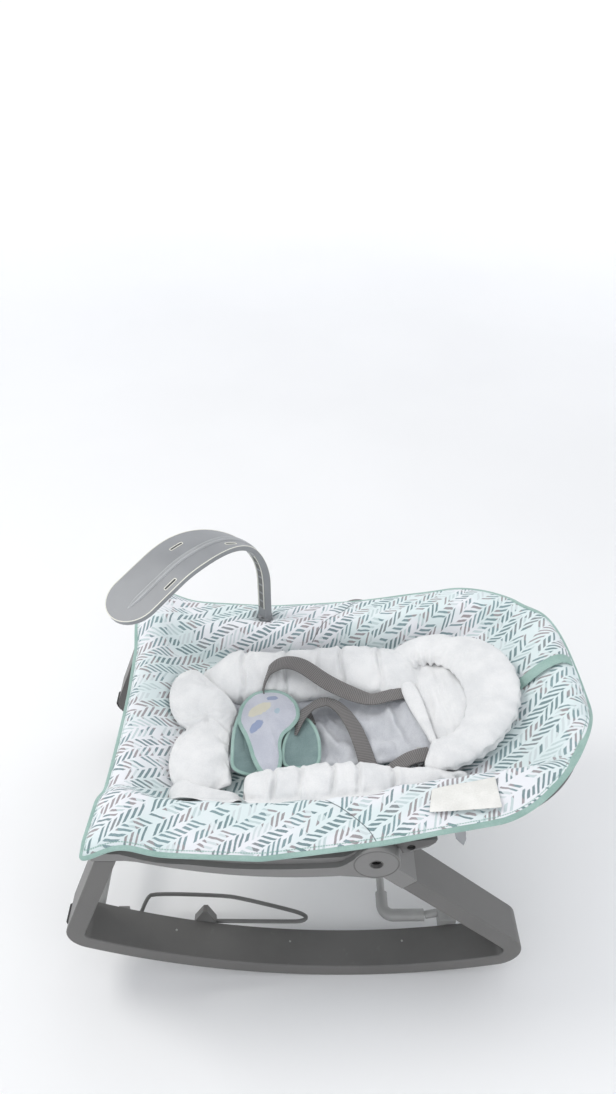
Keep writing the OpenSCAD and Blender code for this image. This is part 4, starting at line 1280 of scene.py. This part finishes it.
def toy_trim(name, path, section, mat, **more):
    slopes = [strip_at(p[0])[2] for p in path]
    ups = [(-math.sin(a) * TOY_COS, -math.sin(a) * TOY_SIN, math.cos(a)) for a in slopes]
    ob = sweep(name, [on_toy(*p) for p in path], section, ups, mat, "toy_plastic", **more)
    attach(ob, "toy_bar")


# near-white trim round the paddle's edge: painted highlight
tip_r = PADDLE_W / 2 - 0.7
rim_path = [(s, -strip_half_w(s) + 0.7, -0.2) for s in np.linspace(POST_RUN - 20, STRIP_RUN, 70)]
tip = [(STRIP_RUN + tip_r * math.sin(a), -tip_r * math.cos(a), -0.2)
       for a in np.radians(np.linspace(4, 176, 40))]
toy_trim("toy_bar_rim", rim_path + tip + [(s, -v, h) for s, v, h in rim_path[::-1]], oval(0.8, 0.7, 8), EDGE_PAINTED_HIGHLIGHT)
# the rib is drawn in a lighter plastic: painted highlight on its raised ridge
rib_path = [(s, 9 * float(ease((s - POST_RUN - 120) / 110)), -0.3)
            for s in np.linspace(POST_RUN + 8, STRIP_RUN + 19, 90)]
rib_w = np.r_[np.linspace(0.5, 1, 30), np.ones(54), 0.96, 0.88, 0.76, 0.6, 0.4, 0.12]
rib_h = np.r_[np.ones(84), 0.98, 0.92, 0.8, 0.65, 0.4, 0.2]
half_rib = [(-5.4, -0.4), (-4.9, 0.9), (-4.0, 2.2), (-3.0, 2.7), (-2.0, 2.2), (-1.0, 1.1)]
toy_trim("toy_bar_rib", rib_path, half_rib + [(-a, b) for a, b in half_rib[::-1]], TOY_RIB_PAINTED_HIGHLIGHT,
         scale=np.stack([rib_w, rib_h], 1))
# near-white rings round the slots: painted highlight on their edges
for i, (s0, v0) in enumerate(TOY_SLOTS):
    ring = [(POST_RUN + s0 + p, v0 + q, 0) for p, q in oval(10.7, 2.4, 28, 6)]
    toy_trim("toy_bar_slot_rim_%d" % i, ring, oval(0.7, 0.6, 8), EDGE_PAINTED_HIGHLIGHT, closed=True)


def rack():
    """Row of dark plates up the inner face of the post, painted shade standing in for its recesses, between ribs with
    painted highlight.
    """
    pts, faces = [], []
    for i in range(7):
        k = len(pts)
        for ds, dv in ((-6.4, -3.9), (6.4, -3.9), (6.4, 3.9), (-6.4, 3.9)):
            s = POST_RUN - 44 + i * 17 + ds
            inner = -2 * strip_half_t(s)
            pts += [on_toy(s, dv, inner - 0.15), on_toy(s, dv * 0.9, inner + 1.0)]
        faces += [(k, k + 2, k + 4, k + 6), (k + 1, k + 7, k + 5, k + 3)]
        faces += [(k + j, k + j + 1, k + (j + 3) % 8, k + (j + 2) % 8) for j in (0, 2, 4, 6)]
    ob = made("toy_bar_rack", pts, faces, RECESS_PAINTED_SHADE, smooth=False)
    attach(ob, "toy_bar")


rack()
# near-white ribs up the post: painted highlight
for v0, word in ((-6.1, "a"), (6.1, "b")):
    path = [(s, v0, -2 * strip_half_t(s) - 0.3) for s in np.linspace(POST_RUN - 50, POST_RUN + 75, 40)]
    toy_trim("toy_bar_post_rib_" + word, path, oval(0.9, 0.8, 8), EDGE_PAINTED_HIGHLIGHT)


# ---- hub caps and runner screws
def hub_ring(name, side, y, r, a, b):
    turns = np.linspace(0, 2 * math.pi, 72, endpoint=False)
    pts = [(HUB_X + r * math.cos(t), side * y, HUB_Z + r * math.sin(t)) for t in turns]
    ob = sweep(name, pts, oval(a, b, 12), (0, side, 0), M["frame_plastic"], "frame_plastic", closed=True)
    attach(ob, "base")


for side, word in ((-1, "left"), (1, "right")):
    hub_ring("hub_rim_" + word, side, 239.6, 28.6, 1.1, 1.0)
    hub_ring("hub_recess_" + word, side, 239.8, 8.6, 0.9, 0.7)

RUNNER_X, RUNNER_TOP_Z, RUNNER_R = 32.2, 860, 834
STUD_R, STUD_H, STUD_Y = 1.7, 1.3, 204.0


def studs(side, word, rings=4, m=14):
    """Small bright round heads on the inner top of the runner."""
    pts, faces = [], []
    for x in (-222.2, -56.7, 110.3):
        z = RUNNER_TOP_Z - math.sqrt(RUNNER_R ** 2 - (x - RUNNER_X) ** 2)
        lean = (x - RUNNER_X) / RUNNER_R
        k = len(pts) + 1
        pts.append((x - lean * STUD_H, side * STUD_Y, z + STUD_H))
        for a in (math.pi / 2 * i / rings for i in range(1, rings + 1)):
            for t in (2 * math.pi * j / m for j in range(m)):
                r, h = STUD_R * math.sin(a), STUD_H * math.cos(a) - 0.1
                px = r * math.cos(t)
                pts.append((x + px - lean * h, side * STUD_Y + r * math.sin(t), z + lean * px + h))
        faces += [(k - 1, k + j, k + (j + 1) % m) for j in range(m)]
        faces += [(a, d, c, b) for a, b, c, d in grid_faces(rings, m, False, True, start=k)]
        faces.append(tuple(k + (rings - 1) * m + j for j in range(m)))
    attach(made("runner_studs_" + word, pts, faces, M["screw_steel"]), "base")


studs(-1, "left")
studs(1, "right")


# ---- stage, light and camera
def build_floor():
    """Pale floor that curves up into a backdrop far behind the seat and all round it."""
    rings, m = 44, 96
    bend = np.linspace(0.05, np.pi / 2, 20)
    r = np.r_[np.linspace(0, 5, 12), 5 + 2.2 * np.sin(bend), np.full(12, 7.2)]
    z = np.r_[np.zeros(12), 2.2 - 2.2 * np.cos(bend), np.linspace(2.25, 5.0, 12)] + cad_box[0].z - 0.0003
    r[0] = 0.0004
    turns = np.linspace(0, 2 * np.pi, m, endpoint=False)
    pts = [(r[i] * math.cos(t), r[i] * math.sin(t), z[i]) for i in range(rings) for t in turns]
    mesh = bpy.data.meshes.new("floor")
    mesh.from_pydata(pts, [], grid_faces(rings, m, False, True) + [tuple(range(m))])
    shade_smooth(mesh)
    ob = bpy.data.objects.new("floor", mesh)
    scene.collection.objects.link(ob)
    g = Graph("floor paint", (0.86, 0.86, 0.855), 0.7)
    at = g.out("ShaderNodeTexCoord", "Object")
    g.set("Base Color", g.mix(g.span(g.noise(at, 1.4, 3), 0.35, 0.65), (0.85, 0.85, 0.845),
                              (0.87, 0.87, 0.865)))
    away = g.out("ShaderNodeVectorMath", "Value", {0: at}, operation="LENGTH")
    g.set("Emission Color", (0.93, 0.95, 1, 1))
    g.set("Emission Strength", g.span(away, 0.7, 4.5, 0.0, 0.33))
    mesh.materials.append(g.mat)


build_floor()

world = bpy.data.worlds.new("studio")
scene.world = world
world.use_nodes = True
sky = world.node_tree.nodes["Background"]
sky.inputs[0].default_value = (0.93, 0.95, 1.0, 1)
sky.inputs[1].default_value = 0.7


def area_light(name, at, size, power, color=(1, 1, 1), look=(0, 0, 0.25)):
    data = bpy.data.lights.new(name, "AREA")
    data.shape, data.size, data.energy, data.color = "DISK", size, power, color
    ob = bpy.data.objects.new(name, data)
    ob.location = at
    ob.rotation_euler = (Vector(look) - Vector(at)).to_track_quat("-Z", "Y").to_euler()
    scene.collection.objects.link(ob)


area_light("key", (-1.5, 0.35, 2.1), 0.9, 19, (1, 0.985, 0.96))
area_light("fill", (1.4, -1.9, 1.3), 2.2, 10, (0.98, 0.99, 1))
area_light("top", (0.5, 0.5, 2.6), 1.6, 8)

cam_data = bpy.data.cameras.new("camera")
cam = bpy.data.objects.new("camera", cam_data)
scene.collection.objects.link(cam)
cam.location = (-0.0353, -0.8441, 1.257)
cam.rotation_euler = (math.radians(52.7), 0, math.radians(-0.49))
cam_data.lens, cam_data.sensor_width = 27.64, 36
cam_data.clip_start, cam_data.clip_end = 0.01, 50
scene.camera = cam
scene.view_settings.view_transform = "Standard"
